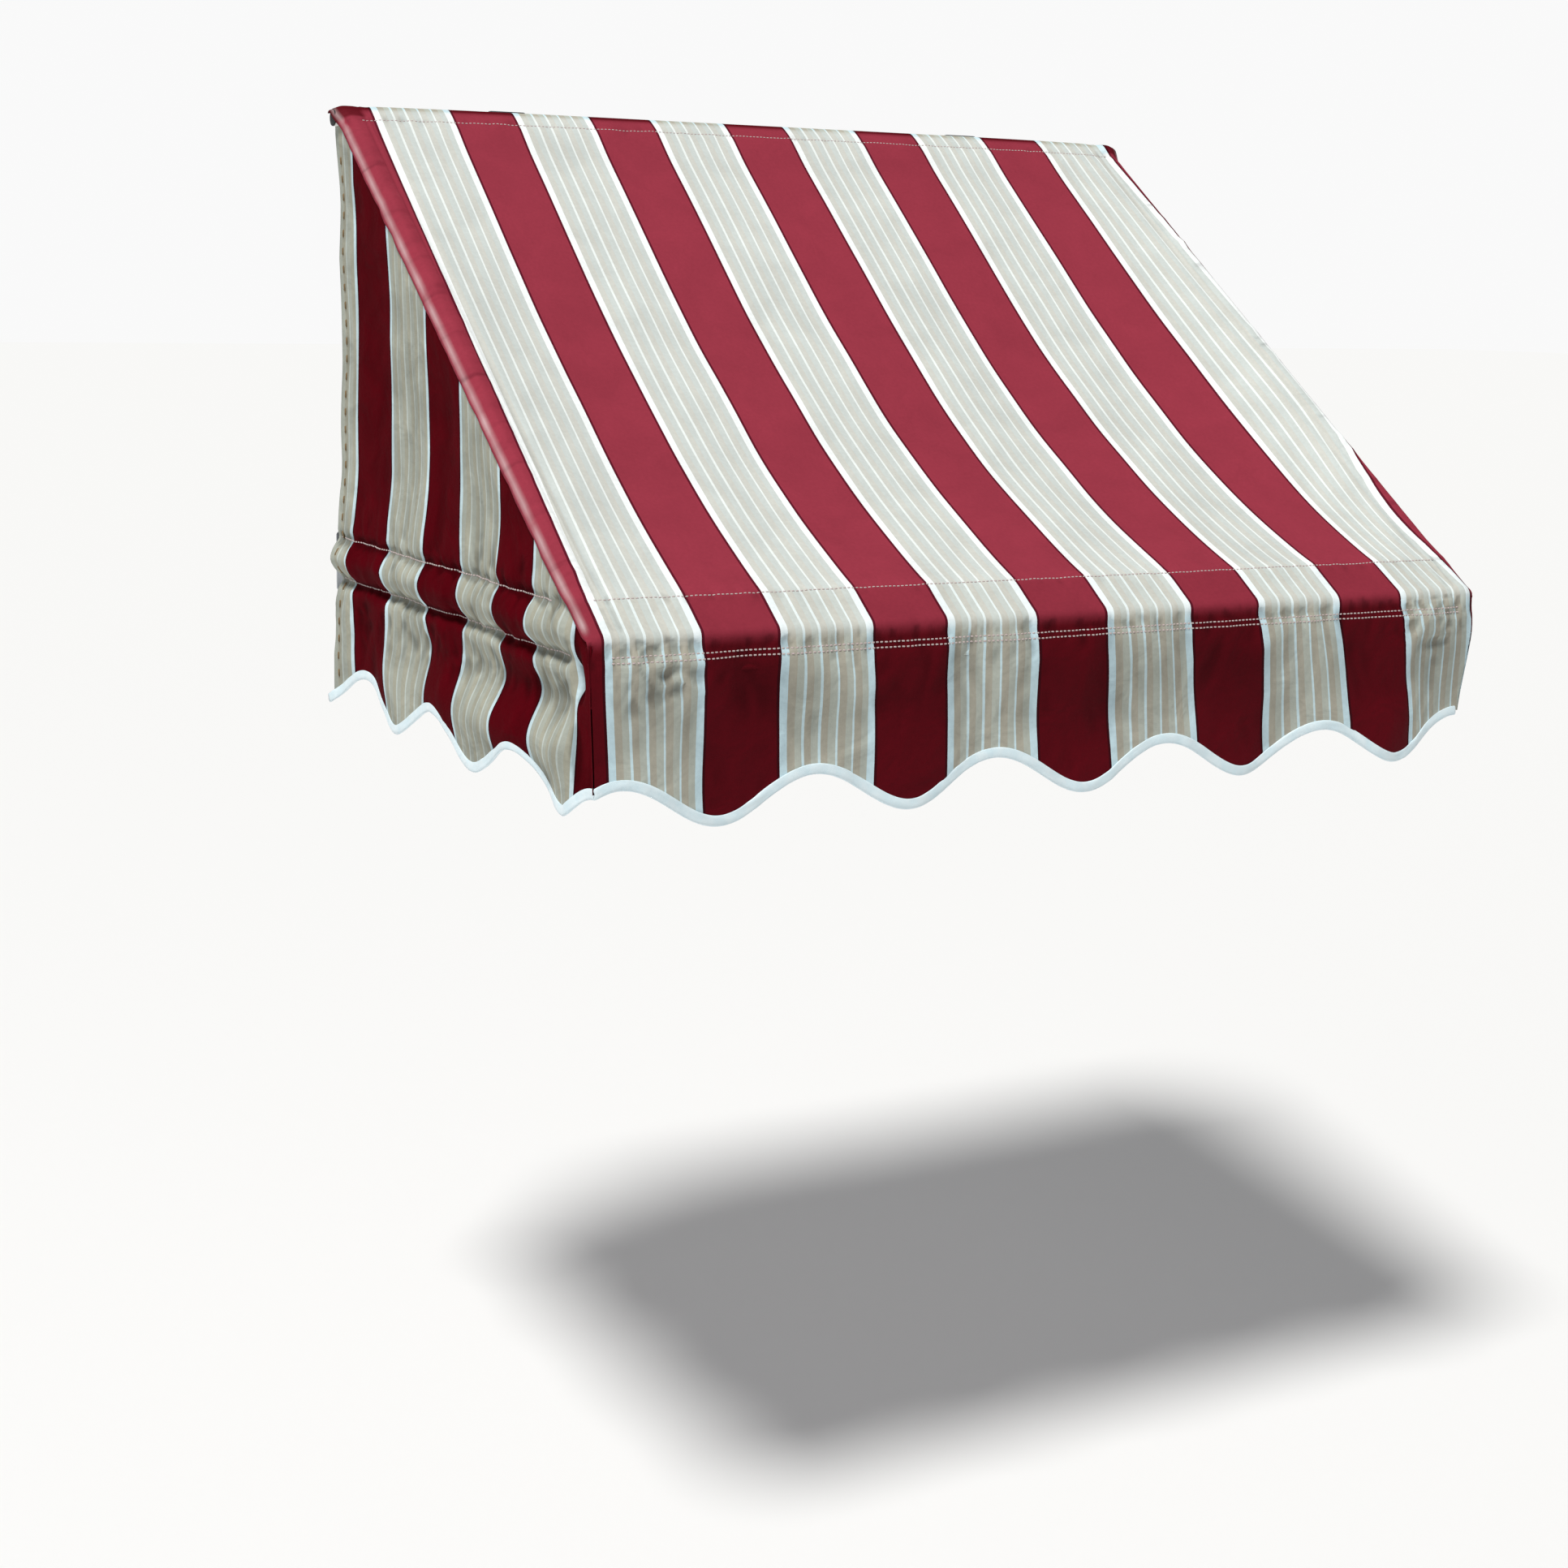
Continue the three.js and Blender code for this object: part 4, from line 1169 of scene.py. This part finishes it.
@dataclass
class InnerStrip:
    """A strip of the same cloth inside the awning, sewn on along both edges to close a sleeve on a tube."""

    name: str
    node: str
    slot: str
    section: list[tuple[float, float]]
    ends: tuple[float, float]
    locate: Callable[[float, float, float], Vector]
    pattern: Callable[[float], float]
    tube: str
    cloth: float = 0.8 * MM
    steps: int = 110
    slack: Wrinkles = Wrinkles(1.1 * MM, 26, 30, 31.0)

    def __post_init__(self) -> None:
        """Cuts the section into short steps and measures the way along it."""
        self.outline = self.rounded()
        self.lengths = [0.0]
        for before, after in zip(self.outline, self.outline[1:]):
            self.lengths.append(self.lengths[-1] + math.dist(before, after))

    def spot(self, level: int, place_along: float) -> Spot:
        """Returns the point at a step of the section and a place along the tube, with its pattern.

        Args:
            level: number of the step.
            place_along: place along the tube.

        Returns:
            The point and its place on the pattern.
        """
        (u, v), length = self.outline[level], self.lengths[level]
        free = smooth(0, 0.02, length) * smooth(0, 0.02, self.lengths[-1] - length)
        slack = self.slack.at(place_along, length) * free
        return self.locate(place_along, u + slack, v - slack), (self.pattern(place_along), length)

    def make(self, material: bpy.types.Material) -> None:
        """Makes the strip of the printed canvas given.

        Args:
            material: the printed canvas.
        """
        obj = cloth_object(self.name, len(self.outline), spaced(*self.ends, self.steps), self.spot)
        # painted shade: the strip takes only the shaded colours
        paint(obj, "lit_share")
        thicken(obj, self.cloth)
        place(obj, material, self.slot, *([self.node] if self.node else []))

    def rounded(self) -> list[tuple[float, float]]:
        """Returns the section with each straight cut into short steps.

        Returns:
            The points of the section.
        """
        points = [self.section[0]]
        for before, after in zip(self.section, self.section[1:]):
            count = max(1, round(math.dist(before, after) / (3 * MM)))
            points += [(lerp(before[0], after[0], i / count), lerp(before[1], after[1], i / count))
                       for i in range(1, count + 1)]
        return points


def arc_section(radius: float, start: float, end: float, count: int) -> list[tuple[float, float]]:
    """Returns points on an arc about the origin, between two angles in degrees."""
    angles = (math.radians(a) for a in spaced(start, end, count))
    return [(radius * math.cos(a), radius * math.sin(a)) for a in angles]


@dataclass
class Sleeves:
    """The inner strips: three under the header, one round the front tube and one round each arm."""

    sizes: Sizes
    stripes: Stripes
    roof: RoofCloth
    bracket_gap: tuple[float, float] = (338 * MM, 386 * MM)
    header_end: float = 575 * MM
    front_end: float = 549 * MM
    margin: float = 6 * MM  # the strips reach past their seams
    clearance: float = 1.6 * MM  # between a tube and the strip round it

    def header(self, material: bpy.types.Material) -> None:
        """Makes the strips that close the header sleeve, open at the wall brackets.

        Args:
            material: the printed canvas.
        """
        sizes = self.sizes
        down, seam = -sizes.up_slope, self.roof.header_seam + self.margin
        lift = sizes.wrap - 2.2 * MM
        foot = (down.y * seam + math.cos(sizes.slope_angle) * lift,
                down.z * seam + math.sin(sizes.slope_angle) * lift)
        section = arc_section(sizes.wrap, 35, -125, 18) + [foot]
        inner, outer = self.bracket_gap
        spans = {"left": (-self.header_end, -outer), "middle": (-inner, inner),
                 "right": (outer, self.header_end)}
        for name, ends in spans.items():
            InnerStrip(
                name=f"header_sleeve_{name}", node="", slot="roof_cloth", section=section, ends=ends,
                locate=lambda x, u, v: Vector((x, sizes.header.y + u, sizes.header.z + v)),
                pattern=lambda x: self.stripes.roof(x, -sizes.slope_length),
                tube="header_tube").make(material)

    def front(self, material: bpy.types.Material) -> None:
        """Makes the strip that closes the front sleeve, from the roof to the valance.

        Args:
            material: the printed canvas.
        """
        sizes = self.sizes
        up, angle = sizes.up_slope, sizes.slope_angle
        lift = sizes.wrap - 3.4 * MM
        head = [(up.y * d + math.cos(angle) * lift, up.z * d + math.sin(angle) * lift)
                for d in (self.roof.seam_up + 5 * MM, 28 * MM)]
        face = -(sizes.wrap - 2.8 * MM)
        foot = [(face, -26 * MM), (face, -34 * MM)]
        section = head + arc_section(sizes.tube + self.clearance, -6, -126, 10) + foot
        InnerStrip(
            name="front_sleeve_strip", node="front_sleeve", slot="roof_cloth", section=section,
            ends=(-self.front_end, self.front_end),
            locate=lambda x, u, v: Vector((x, sizes.front.y + u, sizes.front.z + v)),
            pattern=lambda x: self.stripes.roof(x, 0), tube="front_tube").make(material)

    def arm(self, side: Side, panel: SidePanel, material: bpy.types.Material) -> None:
        """Makes the strip that closes the sleeve of one arm.

        Args:
            side: which side.
            panel: the side cloth that it is sewn to.
            material: the printed canvas.
        """
        sizes, sign = self.sizes, side.sign
        face = sizes.half_width - sizes.frame_x - 3 * MM
        above, below = panel.seam_above, panel.seam_below
        section = ([(face - 4.5 * MM, above + self.margin), (face - 5.5 * MM, above)]
                   + arc_section(sizes.tube + self.clearance, 70, 292, 18)
                   + [(face - 9 * MM, -below), (face - 7 * MM, -below - 7 * MM)])
        low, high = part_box(f"arm_sleeve_{side.value}")
        InnerStrip(
            name=f"arm_sleeve_strip_{side.value}", node=f"arm_sleeve_{side.value}", slot="side_cloth",
            section=section, ends=(low.y, high.y),
            locate=lambda y, u, v: Vector((sign * (sizes.frame_x + u), y, sizes.front.z + v)),
            pattern=lambda y: self.stripes.side(y - sizes.corner_y),
            tube=f"side_arm_{side.value}").make(material)


@dataclass
class EdgeTape:
    """Bias tape folded over the scalloped edge, one length round the left side, the front and the right."""

    sizes: Sizes
    scallops: Scallops
    roof: RoofCloth
    panels: dict[Side, SidePanel]
    height: float = 12 * MM
    thickness: float = 3.8 * MM
    step: float = 4 * MM
    tail: float = 6 * MM  # its ends curl outwards at the wall
    folds: int = 14  # steps of its section
    cloth: float = 0.7 * MM
    swell: Wrinkles = Wrinkles(0.35, 24, 1, 41.0)
    roll: Wrinkles = Wrinkles(1.4 * MM, 34, 0.4, 44.0)

    @property
    def flat_width(self) -> float:
        """Width of the tape before it was folded."""
        return 2 * self.height + 1.2 * self.thickness

    def route(self) -> list[Vector]:
        """Returns the line of the tape's lower edge, from the left wall end to the right one.

        Returns:
            The points of the line.
        """
        left, right = (self.side_line(self.panels[side]) for side in (Side.LEFT, Side.RIGHT))
        half = self.sizes.half_width
        count = round(2 * half / self.step)
        front = []
        for x in spaced(-half, half, count):
            place_on_roof = self.roof.at(x, self.roof.end_run(x))
            front.append(Vector((place_on_roof.x, place_on_roof.y, self.scallops.front(x))))
        turns = self.turned(left[1], front[0], front[1]), self.turned(front[-2], front[-1], right[1])
        return left[:1:-1] + turns[0] + front[2:-2] + turns[1] + right[2:]

    def turned(self, before: Vector, corner: Vector, after: Vector) -> list[Vector]:
        """Returns the rounded way past a corner, from the point before it to the point after it."""
        return [before * (1 - t) ** 2 + corner * 2 * t * (1 - t) + after * t ** 2 for t in spaced(0, 1, 6)]

    def side_line(self, panel: SidePanel) -> list[Vector]:
        """Returns the lower edge of one side, from the front corner to the wall.

        Args:
            panel: the side cloth that it binds.

        Returns:
            The points of the edge.
        """
        count = round(panel.depth / self.step)
        points = []
        for back in spaced(0, panel.depth, count):
            cloth = panel.at(back, panel.bottom(back))
            tail = smooth(panel.depth - 0.03, panel.depth, back) * self.tail
            points.append(Vector((cloth.x + panel.side.sign * tail, cloth.y, panel.bottom(back)
                                  - self.roof.tape_overlap - 0.4 * tail)))
        return points

    def section(self, place_along: float) -> list[tuple[float, float]]:
        """Returns the folded tape's section as (out, up) points, from its outer edge down and up again.

        Args:
            place_along: distance along the tape.

        Returns:
            The points of the section.
        """
        half = self.thickness / 2 * (1 + self.swell.at(place_along, 0))
        points = []
        for degrees in spaced(76, -256, self.folds):
            angle = math.radians(degrees)
            up = 0.5 + 0.5 * math.sin(angle)
            out = math.copysign(abs(math.cos(angle)) ** 0.55, math.cos(angle))
            points.append((out * half * (1 - 0.35 * up), up * self.height))
        return points

    def make(self, material: bpy.types.Material) -> None:
        """Makes the tape of the bias tape given.

        Args:
            material: the bias tape.
        """
        route = self.route()
        vertices, uvs = [], []
        travelled = 0.0
        for i, point in enumerate(route):
            before, after = route[max(i - 1, 0)], route[min(i + 1, len(route) - 1)]
            travelled += (point - before).length
            along = (after - before).normalized()
            out = Vector((along.y, -along.x, 0)).normalized()
            up = out.cross(along)
            up = up if up.z > 0 else -up
            for j, (u, v) in enumerate(self.section(travelled)):
                vertices.append(point + out * (u + self.roll.at(travelled, j) / 2) + up * v)
                uvs.append((travelled, j / self.folds * self.flat_width))
        obj = add_mesh("bias_tape_edge", vertices, grid_faces(len(route), self.folds + 1), uvs)
        thicken(obj, self.cloth)
        place(obj, material, "binding", "edge_binding")
        LOG.info("tape length %.2f m", travelled)


@dataclass
class Stitching:
    """Runs of lock stitches that stand a little proud of the cloth."""

    name: str
    slot: str
    stitch: float = 4.2 * MM
    gap: float = 1.2 * MM
    # thread is 0.5 mm thick on the real seams, and drawn at 1.4 mm so that it can be seen
    radius: float = 0.7 * MM
    proud: float = 0.45 * MM
    sides: int = 6
    taper: float = 0.18  # share of a stitch that each pointed end takes
    flat: tuple[float, float] = (0.55, 0.3)  # a stitch is pressed flat, and its underside lifted
    vertices: list[Vector] = field(default_factory=list)
    faces: list[tuple[int, ...]] = field(default_factory=list)

    def run(self, line: Callable[[float], Vector], start: float, end: float, lift: Vector) -> None:
        """Sews one seam.

        Args:
            line: place on the seam, for a distance along it.
            start: where the seam starts.
            end: where it ends.
            lift: outward direction of the cloth.
        """
        pitch = self.stitch + self.gap
        for i in range(int((end - start) / pitch)):
            here = start + i * pitch
            self.thread(line(here), line(here + self.stitch), lift)

    def thread(self, start: Vector, end: Vector, lift: Vector) -> None:
        """Adds one stitch: a short bar with pointed ends that dip into the cloth.

        Args:
            start: where it comes out of the cloth.
            end: where it goes in again.
            lift: outward direction of the cloth.
        """
        along = (end - start).normalized()
        across = along.cross(lift).normalized()
        up = across.cross(along)
        start, end = start + up * self.proud, end + up * self.proud
        first = len(self.vertices)
        self.vertices.append(start - up * self.radius * 0.4)
        for centre in (lerp(start, end, self.taper), lerp(start, end, 1 - self.taper)):
            for i in range(self.sides):
                angle = 2 * math.pi * i / self.sides
                offset = across * math.cos(angle) + up * (self.flat[0] * math.sin(angle) + self.flat[1])
                self.vertices.append(centre + offset * self.radius)
        self.vertices.append(end - up * self.radius * 0.4)
        last = len(self.vertices) - 1
        for i in range(self.sides):
            beside = (i + 1) % self.sides
            a, b = first + 1 + i, first + 1 + beside
            c, d = a + self.sides, b + self.sides
            self.faces += [(first, b, a), (a, b, d, c), (c, d, last)]

    def make(self, material: bpy.types.Material) -> None:
        """Makes all the seams as one piece, of the thread given."""
        place(add_mesh(self.name, self.vertices, self.faces), material, self.slot)


@dataclass
class Seams:
    """All the sewing that shows on the outside."""

    sizes: Sizes
    roof: RoofCloth
    panels: dict[Side, SidePanel]
    edge_margin: float = 22 * MM
    tack_pitch: float = 23 * MM
    tack: float = 12 * MM

    def make(self, pale: bpy.types.Material, brown: bpy.types.Material) -> None:
        """Sews the seams.

        Args:
            pale: thread of the sleeves.
            brown: thread of the wall hems.
        """
        sizes, roof = self.sizes, self.roof
        half = sizes.half_width - self.edge_margin
        outward = Vector((0, math.cos(sizes.slope_angle), math.sin(sizes.slope_angle)))
        towards_street = Vector((0, -1, 0))
        lines = [(run, outward) for run in (roof.header_seam - roof.slope, -roof.seam_up)]
        lines += [(roof.front_arc + drop, towards_street) for drop in roof.seam_down]
        thread = Stitching("roof_seam_thread", "roof_cloth", radius=0.85 * MM)
        for run, lift in lines:
            thread.run(lambda x, run=run: roof.at(x, run), -half, half, lift)
        thread.make(pale)
        for side, panel in self.panels.items():
            self.sew_side(side, panel, pale, brown)

    def sew_side(self, side: Side, panel: SidePanel, pale: bpy.types.Material,
                 brown: bpy.types.Material) -> None:
        """Sews the arm sleeve and the wall hem of one side.

        Args:
            side: which side.
            panel: the side cloth.
            pale: thread of the sleeve.
            brown: thread of the wall hem.
        """
        outward = Vector((side.sign, 0, 0))
        arm = Stitching(f"arm_seam_thread_{side.value}", "side_cloth", radius=0.95 * MM)
        for reach, start in ((panel.seam_above, 0.10), (-panel.seam_below, 0.06)):
            z = self.sizes.front.z + reach
            arm.run(lambda back, z=z: panel.at(back, z), start, panel.depth - 6 * MM, outward)
        hem = Stitching(f"hem_tack_thread_{side.value}", "side_cloth", stitch=self.tack,
                        gap=self.tack_pitch - self.tack, radius=2.0 * MM)
        back = panel.depth - panel.hem
        hem.run(lambda z: panel.at(back, z), panel.bottom(back) + 0.02, panel.top(back) - 0.03, outward)
        arm.make(pale)
        hem.make(brown)


# ---- Frame ----


@dataclass
class TubeFrame:
    """The tubes, castings, brackets, screws and plugs that carry the cloth."""

    edge: float = 0.35 * MM
    weld: float = 0.01 * MM
    cast_voxel: float = 1.1 * MM
    cast_smoothing: int = 6

    def dress(self, node: str, material: bpy.types.Material) -> None:
        """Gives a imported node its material, eased edges and smooth round faces.

        Args:
            node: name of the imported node.
            material: its material.
        """
        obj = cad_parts[node]
        obj.data.materials.clear()
        obj.data.materials.append(material)
        modify(obj, "weld", "WELD", merge_threshold=self.weld)
        modify(obj, "eased_edges", "BEVEL", width=self.edge, segments=2, limit_method="ANGLE",
               angle_limit=math.radians(38), harden_normals=True)
        obj.data.shade_smooth()

    def cast(self, node: str, material: bpy.types.Material) -> None:
        """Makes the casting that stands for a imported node, with a fillet at each inner corner.

        Args:
            node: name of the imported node.
            material: its material.
        """
        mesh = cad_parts[node].data.copy()
        mesh.name = f"{node}_casting"
        obj = add_to_scene(f"{node}_casting", mesh)
        modify(obj, "weld", "WELD", merge_threshold=self.weld)
        modify(obj, "skin", "REMESH", mode="VOXEL", voxel_size=self.cast_voxel, use_smooth_shade=True)
        modify(obj, "fillets", "SMOOTH", iterations=self.cast_smoothing, factor=0.5)
        place(obj, material, "cast_fitting", node)

    def make(self) -> None:
        """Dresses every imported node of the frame."""
        coat, casting = POWDER_COAT.material(), COATED_CASTING.material()
        zinc, steel, plug = ZINC_PLATE.material(), TURNED_STEEL.material(), MOULDED_PLUG.material()
        finishes = {"screw": steel, "nut": steel, "plug": plug, "bracket": zinc, "clamp": zinc,
                    "rafter": coat, "side_arm": coat, "header_tube": coat, "front_tube": coat}
        for node in sorted(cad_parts):
            if node.startswith(("front_corner", "header_tee")):
                self.cast(node, casting)
                continue
            finish = next((made for word, made in finishes.items() if word in node), None)
            if finish:
                self.dress(node, finish)


# ---- Studio ----


@dataclass(frozen=True)
class Studio:
    """Camera, floor and soft lights."""

    place: tuple[float, float, float] = (-1.6132, -3.0384, -0.2181)
    heading: float = 27.20  # degrees to the right of straight at the wall
    dip: float = 8.79  # degrees below level
    roll: float = 0.89  # degrees
    lens: float = 54.58  # mm, on a sensor 36 mm wide
    sensor: float = 36
    shift: tuple[float, float] = (0.0518, -0.0776)
    floor: float = -1.7
    floor_reach: float = 60.0
    key_from: tuple[float, float, float] = (-0.34, -0.24, 0.91)  # high up, left of the awning
    key_strength: float = 3.3
    key_spread: float = 13  # its apparent size in degrees, which softens the shadows
    fill_at: tuple[float, float, float] = (-3.8, -1.6, 0.9)
    fill_aim: tuple[float, float, float] = (0, -0.4, -0.35)  # middle of the awning
    fill_size: float = 1.8
    fill_power: float = 10
    surround_seen: float = 0.95
    surround_lit: float = 0.14  # the surround gives less light than it looks

    def camera(self) -> None:
        """Makes the camera: to the left of the awning, looking right and a little down."""
        data = bpy.data.cameras.new("camera")
        data.lens = self.lens
        data.sensor_width = self.sensor
        data.shift_x, data.shift_y = self.shift
        camera = add_to_scene("camera", data)
        turn = (Matrix.Rotation(-math.radians(self.heading), 4, "Z")
                @ Matrix.Rotation(math.radians(90 - self.dip), 4, "X")
                @ Matrix.Rotation(math.radians(self.roll), 4, "Z"))
        camera.matrix_world = Matrix.Translation(self.place) @ turn
        bpy.context.scene.camera = camera

    def light(self, name: str, kind: str, towards: Vector, colour: str, **settings) -> bpy.types.Object:
        """Adds a light.

        Args:
            name: the light's name.
            kind: its type.
            towards: direction from the awning to the light.
            colour: six hex digits of its colour.
            settings: its own properties.

        Returns:
            The light.
        """
        data = bpy.data.lights.new(name, kind)
        data.color = linear(colour)[:3]
        for key, value in settings.items():
            setattr(data, key, value)
        lamp = add_to_scene(name, data)
        lamp.rotation_mode = "QUATERNION"
        lamp.rotation_quaternion = towards.to_track_quat("Z", "Y")
        return lamp

    def lights(self) -> None:
        """Adds a broad key light, a soft fill light and a pale surround."""
        self.light("key_broad", "SUN", Vector(self.key_from), "FFFEFB", energy=self.key_strength,
                   angle=math.radians(self.key_spread))
        fill_at = Vector(self.fill_at)
        fill = self.light("fill_left", "AREA", fill_at - Vector(self.fill_aim), "F4F8FF",
                          energy=self.fill_power, size=self.fill_size)
        fill.location = fill_at
        world = bpy.data.worlds.new("surround")
        bpy.context.scene.world = world
        world.use_nodes = True
        tree = world.node_tree
        tree.nodes.clear()
        seen = add_node(tree, "Background", {"Color": (1, 1, 1, 1), "Strength": self.surround_seen})
        lit = add_node(tree, "Background", {"Color": linear("F3F6FA"), "Strength": self.surround_lit})
        ray = add_node(tree, "LightPath").outputs["Is Camera Ray"]
        mix = add_node(tree, "MixShader", {0: ray, 1: lit.outputs[0], 2: seen.outputs[0]})
        add_node(tree, "OutputWorld", {"Surface": mix.outputs[0]})

    def stage(self) -> None:
        """Lays the pale floor, well below the awning."""
        corners = [Vector((x * self.floor_reach, y * self.floor_reach, self.floor))
                   for x, y in ((-1, -1), (1, -1), (1, 1), (-1, 1))]
        floor = add_mesh("floor", corners, [(0, 1, 2, 3)])
        material, _, shader = new_material("matt_white_backdrop_paper")
        feed(shader, {"Base Color": linear("DCDCDC"), "Roughness": 0.9, "Specular IOR Level": 0.0,
                      "Emission Color": (1, 1, 1, 1), "Emission Strength": 0.17})
        floor.data.materials.append(material)

    def make(self) -> None:
        """Sets up the studio."""
        self.camera()
        self.lights()
        self.stage()
        view = bpy.context.scene.view_settings
        view.view_transform = "Standard"
        view.look = "None"


def main() -> None:
    """Builds the awning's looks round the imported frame."""
    logging.basicConfig(level=logging.INFO, format="%(message)s")
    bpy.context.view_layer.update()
    Studio().make()
    sizes = Sizes.read()
    scallops, stripes = Scallops(sizes), Stripes(sizes)
    canvas, side_canvas = SUNLIT_CANVAS.material(), SHADED_CANVAS.material()
    roof = RoofCloth(sizes, scallops, stripes)
    roof.make(canvas)
    panels = {side: SidePanel(side, sizes, scallops, stripes, roof) for side in Side}
    for panel in panels.values():
        panel.make(side_canvas)
    sleeves = Sleeves(sizes, stripes, roof)
    sleeves.header(canvas)
    sleeves.front(canvas)
    for side in Side:
        sleeves.arm(side, panels[side], side_canvas)
    EdgeTape(sizes, scallops, roof, panels).make(BiasTape().material())
    Seams(sizes, roof, panels).make(PALE_THREAD.material(), BROWN_THREAD.material())
    TubeFrame().make()


if __name__ == "__main__":
    main()
